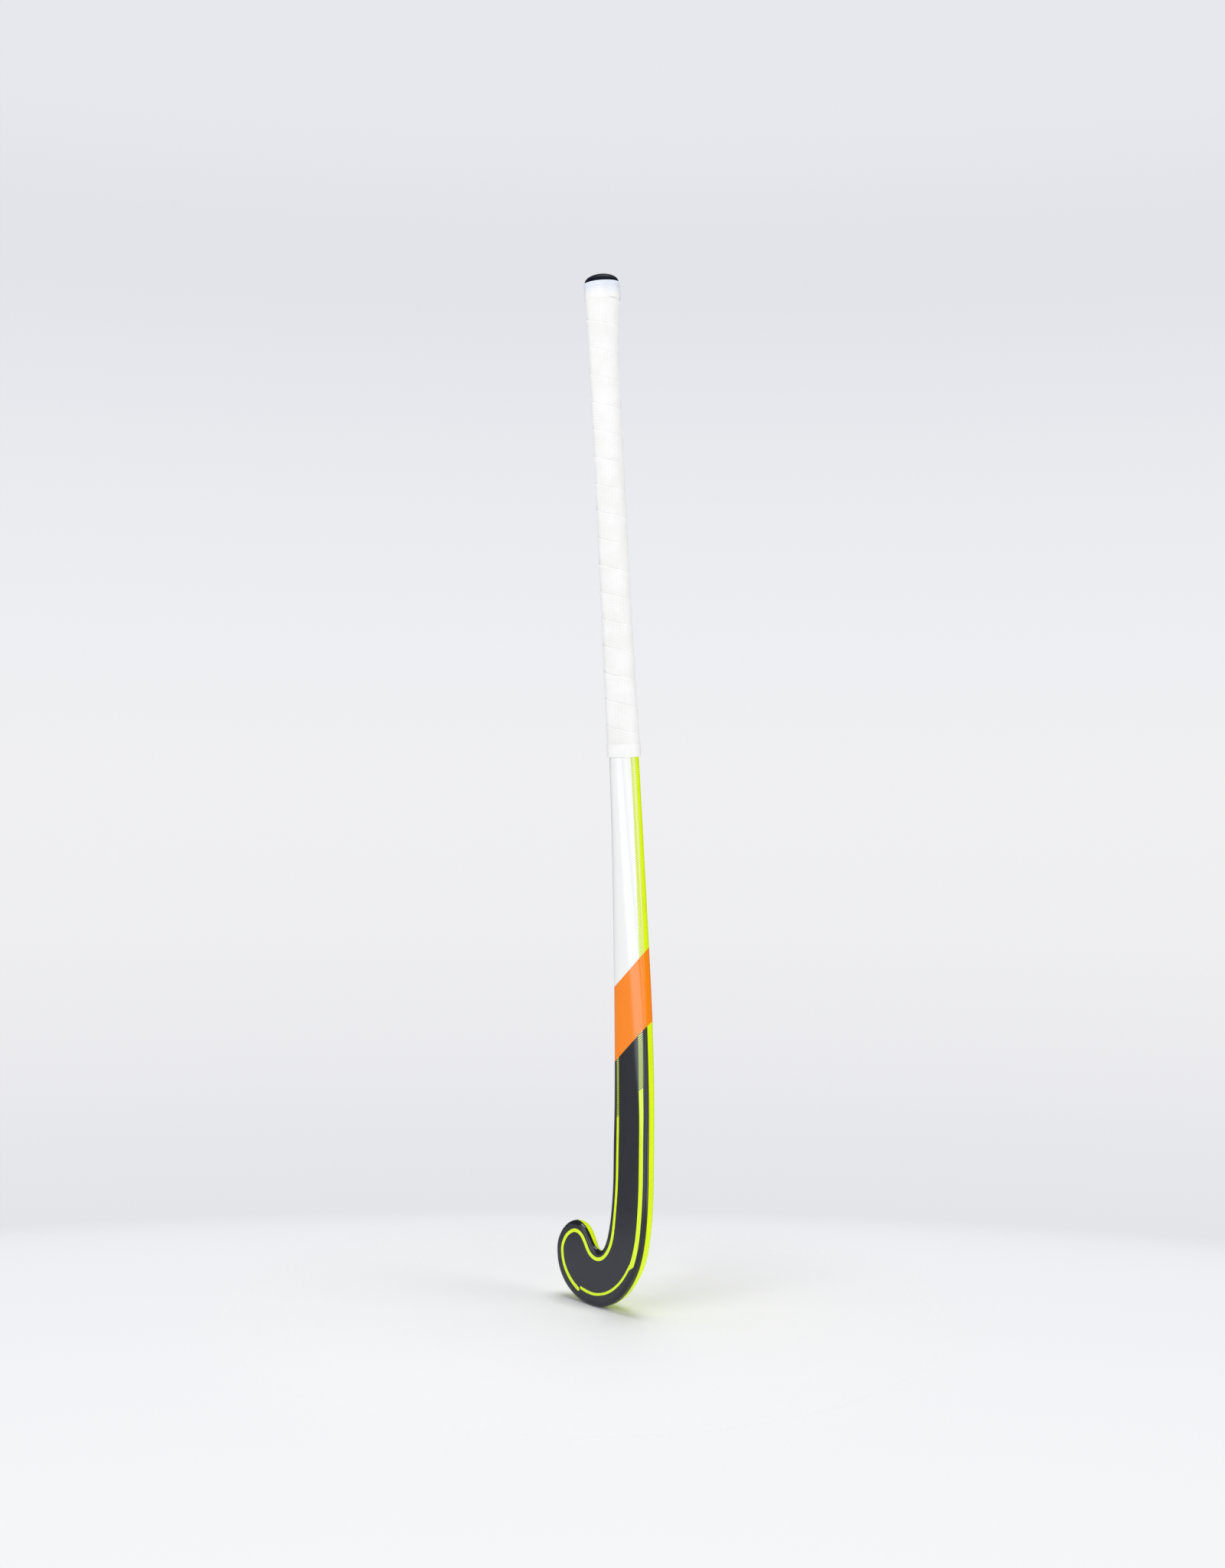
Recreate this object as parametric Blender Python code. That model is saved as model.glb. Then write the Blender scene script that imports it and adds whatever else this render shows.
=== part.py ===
"""Indoor hockey stick as separate pieces, in metres, +Z up along the shaft.

The stick stands on its sole. The playing face looks along -Y and the toe points along -X.
Heights are measured along the stick from the sole. The hook, the shaft and the handle share
one run of cross-sections, so every inner and outer piece is an offset of the same surface.
"""

import math

import bmesh
import bpy
from mathutils import Vector

MM = 0.001

# Length and bow
STICK_LENGTH = 928.0 * MM
BOW_START = 158.0 * MM
BOW_END = 306.0 * MM
BOW_ANGLE = math.radians(4.6)

# Blade: flat face, rounded front edges, half-round back
BLADE_WIDTH = 44.0 * MM
BLADE_THICKNESS = 20.6 * MM
FACE_EDGE_DEPTH = 3.6 * MM
FACE_EDGE_RADIUS = 4.0 * MM

# Shaft and handle, bare
TAPER_START = 165.0 * MM
ROUNDING_START = 215.0 * MM
NECK_HEIGHT = 505.0 * MM
NECK_WIDTH = 28.8 * MM
LOWER_HAND_HEIGHT = 605.0 * MM
LOWER_HAND_WIDTH = 25.6 * MM
WAIST_HEIGHT = 755.0 * MM
HANDLE_WIDTH = 23.0 * MM
HANDLE_THICKNESS = 22.4 * MM
FLARE_START = 850.0 * MM
BUTT_TURN = 9.0 * MM
BUTT_WIDTH = 28.8 * MM
BUTT_THICKNESS = 26.0 * MM
RIM_WIDTH = 26.4 * MM
RIM_THICKNESS = 23.8 * MM
HANDLE_ROUNDNESS = 0.94

# Hook outline on the face
HEAD_LENGTH = 121.2 * MM
HOOK_START = 131.0 * MM
TOE_HEIGHT = 74.0 * MM
TOE_WAIST_HEIGHT = 43.3 * MM
TOE_TOP_INSET = 27.2 * MM
SOLE_DEPTH = 52.4 * MM
CROOK_REACH = 17.8 * MM
SOLE_REACH = 26.3 * MM
HEEL_INSET = 14.0 * MM
HEEL_HEIGHT = 41.0 * MM
HEEL_LEAN = math.radians(28)
HEEL_UPPER_HANDLE = 35.0 * MM
HEEL_ABOVE_HANDLE = 25.0 * MM
HEEL_BELOW_HANDLE = 27.0 * MM
HEEL_LOWER_HANDLE = 24.0 * MM
CROOK_DROP = 45.4 * MM
CROOK_RUN = 10.5 * MM
TOE_SLOPE_TOP = 19.1 * MM
TOE_SLOPE_FOOT = 13.1 * MM
TOE_SIDE_HANDLE = 15.3 * MM
TOE_TOP_HANDLE = 11.5 * MM
SOLE_CORNER_HANDLE = 0.6

# Fullness of the rounded back: 2 is an ellipse, more is squarer and less is leaner. The
# back of the hook is also thicker, squarer on its outer side and leaner in the crook
BLADE_FULLNESS = 2.35
HANDLE_FULLNESS = 2.0
HEAD_FULLNESS = 3.3
CROOK_FULLNESS = 1.5
HEAD_THICKNESS = 22.4 * MM
HEEL_SHARE = 0.5

# Walls and clearances
WALL = 2.4 * MM
FIT = 0.3 * MM
WRAP_FIT = 0.35 * MM

# Inner pieces
HEAD_CORE_TOP = 150.0 * MM
RIB_THICKNESS = 2.0 * MM
PLUG_LENGTH = 72.0 * MM

# Butt cap
CAP_HEIGHT = 8.0 * MM
CAP_SIDE = 0.6 * MM
CAP_TAPER = 1.25
CAP_OVERHANG = 1.6 * MM
SPIGOT_RADIUS = 5.5 * MM
SPIGOT_LENGTH = 14.0 * MM

# Grip and its tapes
GRIP_THICKNESS = 1.3 * MM
GRIP_RIDGE = 0.3 * MM
GRIP_PITCH = 23.8 * MM
GRIP_START_TURN = math.radians(279)
GRIP_TURN_GAP = 0.55 * MM
GRIP_LEAST_WIDTH = 2.5 * MM
GRIP_SLACK = 0.25 * MM
GRIP_STEPS = 20
TAPE_THICKNESS = 0.4 * MM
FINISH_TAPE_WIDTH = 12.0 * MM
FINISH_TAPE_LIP = 2.4 * MM
TOP_BAND_WIDTH = 14.5 * MM
TOP_BAND_SHOULDER = 2.2 * MM
TOP_BAND_RIM = 0.15 * MM

# Heel guard let into the face
GUARD_WIDTH = 6.6 * MM
GUARD_THICKNESS = 0.9 * MM
GUARD_START = 0.95
GUARD_END = 2.46

# Steps along and around
HEEL_STEPS = 7
RUN_STEPS = 6
SOLE_STEPS = 8
TOE_STEPS = 9
CORNER_STEPS = 4
REAR_STEPS = 12
GUARD_STEPS = 16
AROUND_STEPS = 24
TOE_LAST = 0.97
CAVITY_TOE_END = 0.76
CORE_TOE_END = 0.735

# Places that follow from the sizes above
RIM_HEIGHT = STICK_LENGTH - CAP_HEIGHT
BUTT_HEIGHT = RIM_HEIGHT - BUTT_TURN
HALF_BLADE = BLADE_WIDTH / 2
TOE_X = HALF_BLADE - HEAD_LENGTH
CROOK_X = -HALF_BLADE - CROOK_REACH
SOLE_X = -HALF_BLADE - SOLE_REACH
HEEL_X = HALF_BLADE - HEEL_INSET
TOE_TOP_X = TOE_X + TOE_TOP_INSET
GRIP_TOP_OFFSET = WRAP_FIT + GRIP_THICKNESS + GRIP_RIDGE
PLUG_FOOT = RIM_HEIGHT - PLUG_LENGTH


def piecewise(knots, height):
    """Smooth curve through (height, value) knots that never overshoots them."""
    if height <= knots[0][0]:
        return knots[0][1]
    if height >= knots[-1][0]:
        return knots[-1][1]
    rises = [(b[1] - a[1]) / (b[0] - a[0]) for a, b in zip(knots, knots[1:])]
    slopes = [0.0]
    for before, after in zip(rises, rises[1:]):
        same_way = before * after > 0
        slopes.append(2 * before * after / (before + after) if same_way else 0.0)
    slopes.append(0.0)
    for i, (low, high) in enumerate(zip(knots, knots[1:])):
        if height <= high[0]:
            break
    run = high[0] - low[0]
    t = (height - low[0]) / run
    value = low[1] * (1 + 2 * t) * (1 - t) ** 2 + high[1] * t * t * (3 - 2 * t)
    return value + run * (slopes[i] * t * (1 - t) ** 2 - slopes[i + 1] * t * t * (1 - t))


WIDTH_KNOTS = [
    (0.0, BLADE_WIDTH),
    (TAPER_START, BLADE_WIDTH),
    (NECK_HEIGHT, NECK_WIDTH),
    (LOWER_HAND_HEIGHT, LOWER_HAND_WIDTH),
    (WAIST_HEIGHT, HANDLE_WIDTH),
    (FLARE_START, HANDLE_WIDTH),
    (BUTT_HEIGHT, BUTT_WIDTH),
    (RIM_HEIGHT, RIM_WIDTH),
]
THICKNESS_KNOTS = [
    (0.0, BLADE_THICKNESS),
    (TAPER_START, BLADE_THICKNESS),
    (NECK_HEIGHT, HANDLE_THICKNESS),
    (FLARE_START, HANDLE_THICKNESS),
    (BUTT_HEIGHT, BUTT_THICKNESS),
    (RIM_HEIGHT, RIM_THICKNESS),
]
ROUNDNESS_KNOTS = [
    (ROUNDING_START, 0.0),
    (NECK_HEIGHT, 1.0),
]
FULLNESS_KNOTS = [
    (NECK_HEIGHT, BLADE_FULLNESS),
    (LOWER_HAND_HEIGHT, HANDLE_FULLNESS),
]


class Section:
    """One cross-section: where it lies, which way it faces and its sizes.

    The half width runs across, the depth runs back from the face. The widest line lies at
    edge, in front of it are the rounded front edges and behind it is the rounded back.
    """

    def __init__(
            self, origin, across, back, half, edge, corner, rear, lift,
            outer_fullness, inner_fullness):
        self.origin = origin
        self.across = across
        self.back = back
        self.half = half
        self.edge = edge
        self.corner = corner
        self.rear = rear
        self.lift = lift
        self.outer_fullness = outer_fullness
        self.inner_fullness = inner_fullness

    def place(self, x, y):
        return self.origin + self.across * x + self.back * y

    def front_point(self, side, turn, offset=0.0, seam=0.0):
        """Front edge: turn is 0 on the widest line and a quarter turn on the face."""
        x = side * (self.half - self.corner + (self.corner + offset) * math.cos(turn))
        line = self.edge - seam
        return self.place(x, line - (line - self.lift + offset) * math.sin(turn))

    def rear_point(self, turn, offset=0.0, seam=0.0):
        """Back: turn is 0 on the heel side's widest line and a half turn on the toe side's."""
        power = 2 / (self.outer_fullness if math.cos(turn) > 0 else self.inner_fullness)
        x = (self.half + offset) * math.copysign(abs(math.cos(turn)) ** power, math.cos(turn))
        depth = (self.rear - seam + offset) * abs(math.sin(turn)) ** power
        return self.place(x, self.edge + seam + depth)

    def around_point(self, turn, offset):
        """Point at any turn, 0 on the heel side and a quarter turn on the back."""
        if math.sin(turn) >= 0:
            return self.rear_point(turn, offset)
        if abs(math.cos(turn)) < 1e-6:
            return self.front_point(0, math.pi / 2, offset)
        side = math.copysign(1, math.cos(turn))
        return self.front_point(side, math.atan2(-math.sin(turn), abs(math.cos(turn))), offset)

    def front_loop(self, offset=0.0, seam=0.0):
        turns = [math.pi / 2 * i / CORNER_STEPS for i in range(CORNER_STEPS + 1)]
        heel = [self.front_point(1, turn, offset, seam) for turn in turns]
        toe = [self.front_point(-1, turn, offset, seam) for turn in reversed(turns)]
        return heel + toe

    def rear_loop(self, offset=0.0, seam=0.0):
        turns = [math.pi * i / REAR_STEPS for i in range(REAR_STEPS, -1, -1)]
        return [self.rear_point(turn, offset, seam) for turn in turns]

    def full_loop(self, offset=0.0):
        return self.front_loop(offset) + self.rear_loop(offset)[1:-1]

    def middle(self):
        return self.place(0.0, (self.edge + self.rear + self.lift) / 2)


def face_line(height):
    """Depth, height above the sole and lean of the face line at a height along the stick."""
    if height <= BOW_START:
        return 0.0, height, 0.0
    bend_length = BOW_END - BOW_START
    radius = bend_length / BOW_ANGLE
    lean = min(height - BOW_START, bend_length) / radius
    depth = -radius * (1 - math.cos(lean))
    rise = BOW_START + radius * math.sin(lean)
    beyond = max(height - BOW_END, 0.0)
    return depth - beyond * math.sin(lean), rise + beyond * math.cos(lean), lean


def shaft_section(height):
    depth, rise, lean = face_line(height)
    width = piecewise(WIDTH_KNOTS, height)
    thickness = piecewise(THICKNESS_KNOTS, height)
    roundness = piecewise(ROUNDNESS_KNOTS, height)
    fullness = piecewise(FULLNESS_KNOTS, height)
    edge = FACE_EDGE_DEPTH + (thickness / 2 - FACE_EDGE_DEPTH) * roundness
    corner = FACE_EDGE_RADIUS + (HANDLE_ROUNDNESS * width / 2 - FACE_EDGE_RADIUS) * roundness
    origin = Vector((0.0, depth, rise))
    back = Vector((0.0, math.cos(lean), math.sin(lean)))
    return Section(
        origin, Vector((1, 0, 0)), back,
        width / 2, edge, corner, thickness - edge, 0.0, fullness, fullness)


def bezier(points, t):
    """Point on a cubic curve given by four (x, z) points."""
    s = 1 - t
    weights = (s * s * s, 3 * s * s * t, 3 * s * t * t, t * t * t)
    x = sum(w * p[0] for w, p in zip(weights, points))
    z = sum(w * p[1] for w, p in zip(weights, points))
    return Vector((x, 0.0, z))


HEEL_CURVE = [
    (HALF_BLADE, HOOK_START),
    (HALF_BLADE, HOOK_START - HEEL_UPPER_HANDLE),
    (HEEL_X + HEEL_ABOVE_HANDLE * math.sin(HEEL_LEAN),
     HEEL_HEIGHT + HEEL_ABOVE_HANDLE * math.cos(HEEL_LEAN)),
    (HEEL_X, HEEL_HEIGHT),
]
RUN_CURVE = [
    (HEEL_X, HEEL_HEIGHT),
    (HEEL_X - HEEL_BELOW_HANDLE * math.sin(HEEL_LEAN),
     HEEL_HEIGHT - HEEL_BELOW_HANDLE * math.cos(HEEL_LEAN)),
    (SOLE_X + HEEL_LOWER_HANDLE, 0.0),
    (SOLE_X, 0.0),
]
SOLE_CURVE = [
    (SOLE_X, 0.0),
    (SOLE_X + (TOE_X - SOLE_X) * SOLE_CORNER_HANDLE, 0.0),
    (TOE_X, TOE_WAIST_HEIGHT * (1 - SOLE_CORNER_HANDLE)),
    (TOE_X, TOE_WAIST_HEIGHT),
]
TOE_CURVE = [
    (TOE_X, TOE_WAIST_HEIGHT),
    (TOE_X, TOE_WAIST_HEIGHT + TOE_SIDE_HANDLE),
    (TOE_TOP_X - TOE_TOP_HANDLE, TOE_HEIGHT),
    (TOE_TOP_X, TOE_HEIGHT),
]
CROOK_CURVE = [
    (-HALF_BLADE, HOOK_START),
    (-HALF_BLADE, HOOK_START - CROOK_DROP),
    (CROOK_X + CROOK_RUN, SOLE_DEPTH),
    (CROOK_X, SOLE_DEPTH),
]
SLOPE_CURVE = [
    (CROOK_X, SOLE_DEPTH),
    (CROOK_X - TOE_SLOPE_FOOT, SOLE_DEPTH),
    (TOE_TOP_X + TOE_SLOPE_TOP, TOE_HEIGHT),
    (TOE_TOP_X, TOE_HEIGHT),
]
CROOK_SPLIT = 0.68
CROOK_LEAD = 1.4
SLOPE_SPLIT = 0.27


def hook_section(outer, inner, into_hook=1.0):
    """Section across the hook between a point on its outer edge and one on its inner edge."""
    thickness = BLADE_THICKNESS + (HEAD_THICKNESS - BLADE_THICKNESS) * into_hook
    outer_fullness = BLADE_FULLNESS + (HEAD_FULLNESS - BLADE_FULLNESS) * into_hook
    inner_fullness = BLADE_FULLNESS + (CROOK_FULLNESS - BLADE_FULLNESS) * into_hook
    across = outer - inner
    half = across.length / 2
    middle = (outer + inner) / 2
    below_tip = TOE_HEIGHT - middle.z
    rear = thickness - FACE_EDGE_DEPTH
    depth = FACE_EDGE_DEPTH
    if inner.x < CROOK_X:
        depth *= rounded_off(below_tip, FACE_EDGE_RADIUS)
        rear *= rounded_off(below_tip, HALF_BLADE)
    corner = min(FACE_EDGE_RADIUS, half * HANDLE_ROUNDNESS)
    lift = FACE_EDGE_DEPTH - depth
    return Section(
        middle, across.normalized(), Vector((0, 1, 0)),
        half, FACE_EDGE_DEPTH, corner, rear, lift, outer_fullness, inner_fullness)


def rounded_off(distance, radius):
    """Share of the full depth left at a distance from a rounded end."""
    short = max(1 - distance / radius, 0.0)
    return math.sqrt(1 - short * short)


def hook_sections(toe_end):
    """Sections from the start of the hook, round the heel and sole, and up to the toe."""
    sections = []
    for i in range(1, HEEL_STEPS + 1):
        t = i / HEEL_STEPS
        inner = bezier(CROOK_CURVE, CROOK_SPLIT * t)
        sections.append(hook_section(bezier(HEEL_CURVE, t), inner, HEEL_SHARE * t * t))
    for i in range(1, RUN_STEPS + 1):
        t = i / RUN_STEPS
        inner = bezier(CROOK_CURVE, 1 - (1 - CROOK_SPLIT) * (1 - t) ** CROOK_LEAD)
        into_hook = HEEL_SHARE + (1 - HEEL_SHARE) * t
        sections.append(hook_section(bezier(RUN_CURVE, t), inner, into_hook))
    for i in range(1, SOLE_STEPS + 1):
        t = i / SOLE_STEPS
        sections.append(hook_section(bezier(SOLE_CURVE, t), bezier(SLOPE_CURVE, SLOPE_SPLIT * t)))
    for i in range(1, TOE_STEPS + 1):
        t = toe_end * (1 - (1 - i / TOE_STEPS) ** 1.5)
        inner = bezier(SLOPE_CURVE, SLOPE_SPLIT + (1 - SLOPE_SPLIT) * t)
        sections.append(hook_section(bezier(TOE_CURVE, t), inner))
    return sections


def shaft_heights(top, foot):
    """Heights of the shaft sections between two ends, close together where the shape turns."""
    turning = [BOW_START + (BOW_END - BOW_START) * i / 7 for i in range(8)]
    taper = [BOW_END + (NECK_HEIGHT - BOW_END) * i / 5 for i in range(1, 6)]
    handle = [LOWER_HAND_HEIGHT, (LOWER_HAND_HEIGHT + WAIST_HEIGHT) / 2, WAIST_HEIGHT, FLARE_START]
    flare = [FLARE_START + (BUTT_HEIGHT - FLARE_START) * i / 4 for i in range(1, 5)]
    heights = turning + taper + handle + flare + [BUTT_HEIGHT + BUTT_TURN / 2]
    inside = [h for h in heights if foot + 2 * MM < h < top - 2 * MM]
    return [top] + sorted(inside, reverse=True) + [foot]


def sweep(name, loops, closed=False):
    """Closed mesh through loops of equally many points, as an object at the origin."""
    mesh = bpy.data.meshes.new(name)
    build = bmesh.new()
    rings = [[build.verts.new(point) for point in loop] for loop in loops]
    pairs = list(zip(rings, rings[1:]))
    if closed:
        pairs.append((rings[-1], rings[0]))
    else:
        build.faces.new(rings[0])
        build.faces.new(list(reversed(rings[-1])))
    for first, second in pairs:
        for i, corner in enumerate(first):
            following = (i + 1) % len(first)
            build.faces.new((corner, second[i], second[following], first[following]))
    bmesh.ops.recalc_face_normals(build, faces=build.faces)
    build.to_mesh(mesh)
    build.free()
    mesh.shade_smooth()
    mesh.set_sharp_from_angle(angle=math.radians(35))
    return bpy.data.objects.new(name, mesh)


def painted(obj, color, roughness, metallic=0.0):
    material = bpy.data.materials.new(obj.name)
    material.use_nodes = True
    shader = material.node_tree.nodes["Principled BSDF"]
    shader.inputs["Base Color"].default_value = (*color, 1.0)
    shader.inputs["Roughness"].default_value = roughness
    shader.inputs["Metallic"].default_value = metallic
    material.diffuse_color = (*color, 1.0)
    obj.data.materials.append(material)
    return obj


def as_cutter(obj, cutters):
    cutters.objects.link(obj)
    obj.hide_render = True
    obj.display_type = "WIRE"
    return obj


def cut(obj, cutter):
    modifier = obj.modifiers.new(cutter.name, "BOOLEAN")
    modifier.operation = "DIFFERENCE"
    modifier.object = cutter
    modifier.solver = "EXACT"
    return obj


def box_object(name, low, high):
    """Box between two corners, from a unit cube."""
    mesh = bpy.data.meshes.new(name)
    build = bmesh.new()
    bmesh.ops.create_cube(build, size=1.0)
    for vert in build.verts:
        for axis in range(3):
            middle = (low[axis] + high[axis]) / 2
            vert.co[axis] = middle + vert.co[axis] * (high[axis] - low[axis])
    build.to_mesh(mesh)
    build.free()
    return bpy.data.objects.new(name, mesh)


def laminates(cutters):
    """Front and back halves of the moulded wall, parted on the widest line."""
    sections = [shaft_section(h) for h in shaft_heights(RIM_HEIGHT, HOOK_START)]
    sections += hook_sections(TOE_LAST)
    seam = FIT / 2
    front = sweep("front_laminate", [s.front_loop(seam=seam) for s in sections])
    back = sweep("back_laminate", [s.rear_loop(seam=seam) for s in sections])

    hollow = [shaft_section(h) for h in shaft_heights(RIM_HEIGHT + 5 * MM, HOOK_START)]
    hollow += hook_sections(CAVITY_TOE_END)
    cavity = as_cutter(sweep("cavity", [s.full_loop(-WALL) for s in hollow]), cutters)
    cut(front, cavity)
    cut(back, cavity)
    painted(front, (0.045, 0.05, 0.06), 0.42)
    painted(back, (0.72, 1.0, 0.0), 0.35)
    return front, back


def outer_edge(place):
    """Point on the outer edge of the hook: place runs 0 to 1 on the heel, 1 to 2 on the run
    below it and 2 to 3 on the sole."""
    curves = (HEEL_CURVE, RUN_CURVE, SOLE_CURVE)
    part = min(int(place), 2)
    return bezier(curves[part], place - part)


def guard_outline(spare, depth):
    """Loops of the heel guard, an even strip just inside the outer edge, from heel to toe."""
    loops = []
    step = 0.001
    for i in range(GUARD_STEPS + 1):
        place = GUARD_START + (GUARD_END - GUARD_START) * i / GUARD_STEPS
        point = outer_edge(place)
        ahead = (outer_edge(place + step) - outer_edge(place - step)).normalized()
        inward = Vector((ahead.z, 0.0, -ahead.x))
        beyond = Vector((0, 0, 0))
        if i == 0:
            beyond = -ahead * spare
        if i == GUARD_STEPS:
            beyond = ahead * spare
        outer = point + inward * (FACE_EDGE_RADIUS + FIT - spare) + beyond
        inner = point + inward * (FACE_EDGE_RADIUS + FIT + GUARD_WIDTH + spare) + beyond
        low = Vector((0, -spare * 4, 0))
        high = Vector((0, depth, 0))
        loops.append([outer + low, inner + low, inner + high, outer + high])
    return loops


def heel_guard(front, cutters):
    """Wear strip flush with the face, in a recess that is one clearance larger all round."""
    recess = sweep("guard_recess", guard_outline(FIT, GUARD_THICKNESS + FIT))
    cut(front, as_cutter(recess, cutters))
    guard = sweep("heel_guard", guard_outline(0.0, GUARD_THICKNESS))
    return painted(guard, (0.07, 0.075, 0.085), 0.38)


def head_core():
    inset = -(WALL + FIT)
    sections = [shaft_section(HEAD_CORE_TOP - FIT / 2), shaft_section(HOOK_START)]
    sections += hook_sections(CORE_TOE_END)
    core = sweep("head_core", [s.full_loop(inset) for s in sections])
    return painted(core, (0.62, 0.5, 0.3), 0.8)


def shaft_cores(cutters):
    """Foam cores on either side of the rib."""
    foot = HEAD_CORE_TOP + FIT / 2
    top = PLUG_FOOT - FIT
    inset = -(WALL + FIT)
    gap = RIB_THICKNESS / 2 + FIT
    reach = HEAD_LENGTH
    loops = [shaft_section(h).full_loop(inset) for h in shaft_heights(top, foot)]
    cores = []
    for name, low_x, high_x in (("toe_side_core", -gap, reach), ("heel_side_core", -reach, gap)):
        core = sweep(name, loops)
        block = box_object(name + "_cut", (low_x, -reach, 0), (high_x, reach, STICK_LENGTH))
        cut(core, as_cutter(block, cutters))
        cores.append(painted(core, (0.86, 0.82, 0.68), 0.85))
    return cores


def centre_rib():
    """Web that joins the face wall to the back wall between the two cores."""
    loops = []
    half = RIB_THICKNESS / 2
    for height in shaft_heights(PLUG_FOOT - FIT, HEAD_CORE_TOP + FIT / 2):
        section = shaft_section(height)
        front = WALL + FIT
        back = section.edge + section.rear - WALL - FIT
        corners = ((-half, front), (half, front), (half, back), (-half, back))
        loops.append([section.place(x, y) for x, y in corners])
    return painted(sweep("centre_rib", loops), (0.05, 0.05, 0.05), 0.5)


def round_loop(height, radius, steps):
    """Circle about the middle of the handle at a height."""
    section = shaft_section(height)
    centre = section.middle()
    loop = []
    for i in range(steps):
        turn = 2 * math.pi * i / steps
        arm = section.across * math.cos(turn) + section.back * math.sin(turn)
        loop.append(centre + arm * radius)
    return loop


def handle_plug(cutters):
    """Plug in the mouth of the handle, bored for the cap's spigot."""
    inset = -(WALL + FIT)
    top = RIM_HEIGHT - FIT
    plug = sweep("handle_plug", [
        shaft_section(h).full_loop(inset) for h in shaft_heights(top, PLUG_FOOT)])
    bore_foot = RIM_HEIGHT - SPIGOT_LENGTH - 2 * FIT
    bore_ends = (RIM_HEIGHT + 4 * MM, bore_foot)
    bore = sweep("spigot_bore", [
        round_loop(h, SPIGOT_RADIUS + FIT, AROUND_STEPS) for h in bore_ends])
    cut(plug, as_cutter(bore, cutters))
    return painted(plug, (0.75, 0.68, 0.5), 0.75)


def butt_cap():
    """Domed cap whose flange covers the end of the handle, with a spigot in the plug."""
    foot = RIM_HEIGHT + FIT
    loops = [
        round_loop(RIM_HEIGHT - SPIGOT_LENGTH, SPIGOT_RADIUS * 0.8, AROUND_STEPS),
        round_loop(RIM_HEIGHT - SPIGOT_LENGTH + 1.5 * MM, SPIGOT_RADIUS, AROUND_STEPS),
        round_loop(foot, SPIGOT_RADIUS, AROUND_STEPS),
    ]
    rim = shaft_section(RIM_HEIGHT)
    lift = rim.across.cross(rim.back)
    centre = rim.middle()
    turns = [2 * math.pi * i / AROUND_STEPS for i in range(AROUND_STEPS)]
    flange = [rim.around_point(turn, CAP_OVERHANG) for turn in turns]
    dome_height = STICK_LENGTH - foot - CAP_SIDE
    loops.append([point + lift * (foot - RIM_HEIGHT) for point in flange])
    for share in (0.0, 0.25, 0.5, 0.7, 0.85, 0.95):
        angle = share * math.pi / 2
        rise = foot - RIM_HEIGHT + CAP_SIDE + dome_height * math.sin(angle) ** CAP_TAPER
        narrow = math.cos(angle) ** CAP_TAPER
        loops.append([centre + (point - centre) * narrow + lift * rise for point in flange])
    return painted(sweep("butt_cap", loops), (0.01, 0.013, 0.02), 0.45)


def band(name, profile, color, roughness):
    """Ring round the handle: the profile lists heights and offsets from the bare handle."""
    loops = []
    for i in range(AROUND_STEPS):
        turn = 2 * math.pi * i / AROUND_STEPS
        loops.append([shaft_section(h).around_point(turn, offset) for h, offset in profile])
    return painted(sweep(name, loops, closed=True), color, roughness)


def finishing_tape():
    """Tape over the foot of the grip, turned in under it down to the shaft."""
    foot = NECK_HEIGHT - FINISH_TAPE_LIP
    top = foot + FINISH_TAPE_WIDTH
    inner = GRIP_TOP_OFFSET + FIT
    outer = inner + TAPE_THICKNESS
    profile = [
        (foot, WRAP_FIT),
        (foot, outer),
        (top, outer),
        (top, inner),
        (NECK_HEIGHT, inner),
        (NECK_HEIGHT, WRAP_FIT),
    ]
    return band("finishing_tape", profile, (0.93, 0.93, 0.94), 0.3)


def top_band():
    """Clear tape over the top end of the grip."""
    top = RIM_HEIGHT
    foot = top - TOP_BAND_WIDTH
    inner = GRIP_TOP_OFFSET + FIT
    outer = inner + TAPE_THICKNESS
    shoulder = top - TOP_BAND_SHOULDER
    heights = (foot, BUTT_HEIGHT, BUTT_HEIGHT + BUTT_TURN / 2, shoulder)
    profile = [(top, inner)]
    profile += [(h, inner) for h in reversed(heights)]
    profile += [(h, outer) for h in heights]
    profile.append((top, inner + TOP_BAND_RIM))
    return band("top_band", profile, (0.82, 0.88, 0.96), 0.12)


def grip_profile(low, high):
    """Strip from its lower edge to its upper edge, thicker at the upper, lapped edge."""
    inner = WRAP_FIT
    outer = WRAP_FIT + GRIP_THICKNESS
    ridge = outer + GRIP_RIDGE
    width = high - low
    middle = min(max(BUTT_HEIGHT, low + 0.3 * width), low + 0.7 * width)
    return [
        (low, inner),
        (low, outer - 0.5 * MM),
        (low + 0.12 * width, outer),
        (middle, outer + GRIP_RIDGE / 2),
        (low + 0.84 * width, ridge),
        (high, outer - 0.3 * MM),
        (high, inner),
        (middle, inner + GRIP_SLACK),
    ]


def grip_wrap():
    """Cushioned strip wound up the handle in one unbroken run, cut level at both ends."""
    foot = NECK_HEIGHT + FIT
    top = RIM_HEIGHT - FIT
    turns = (top - foot + GRIP_PITCH) / GRIP_PITCH
    strip = GRIP_PITCH - GRIP_TURN_GAP
    loops = []
    for i in range(int(turns * GRIP_STEPS) + 1):
        share = i / GRIP_STEPS
        upper = foot + GRIP_PITCH * share
        low = max(upper - strip, foot)
        high = min(upper, top)
        if high - low >= GRIP_LEAST_WIDTH:
            turn = GRIP_START_TURN - 2 * math.pi * share
            profile = grip_profile(low, high)
            loops.append([shaft_section(h).around_point(turn, offset) for h, offset in profile])
    gap = least_gap(loops)
    print("grip_wrap: %d sections, least gap between turns %.2f mm" % (len(loops), gap / MM))
    return painted(sweep("grip_wrap", loops), (0.93, 0.93, 0.92), 0.55)


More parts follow.
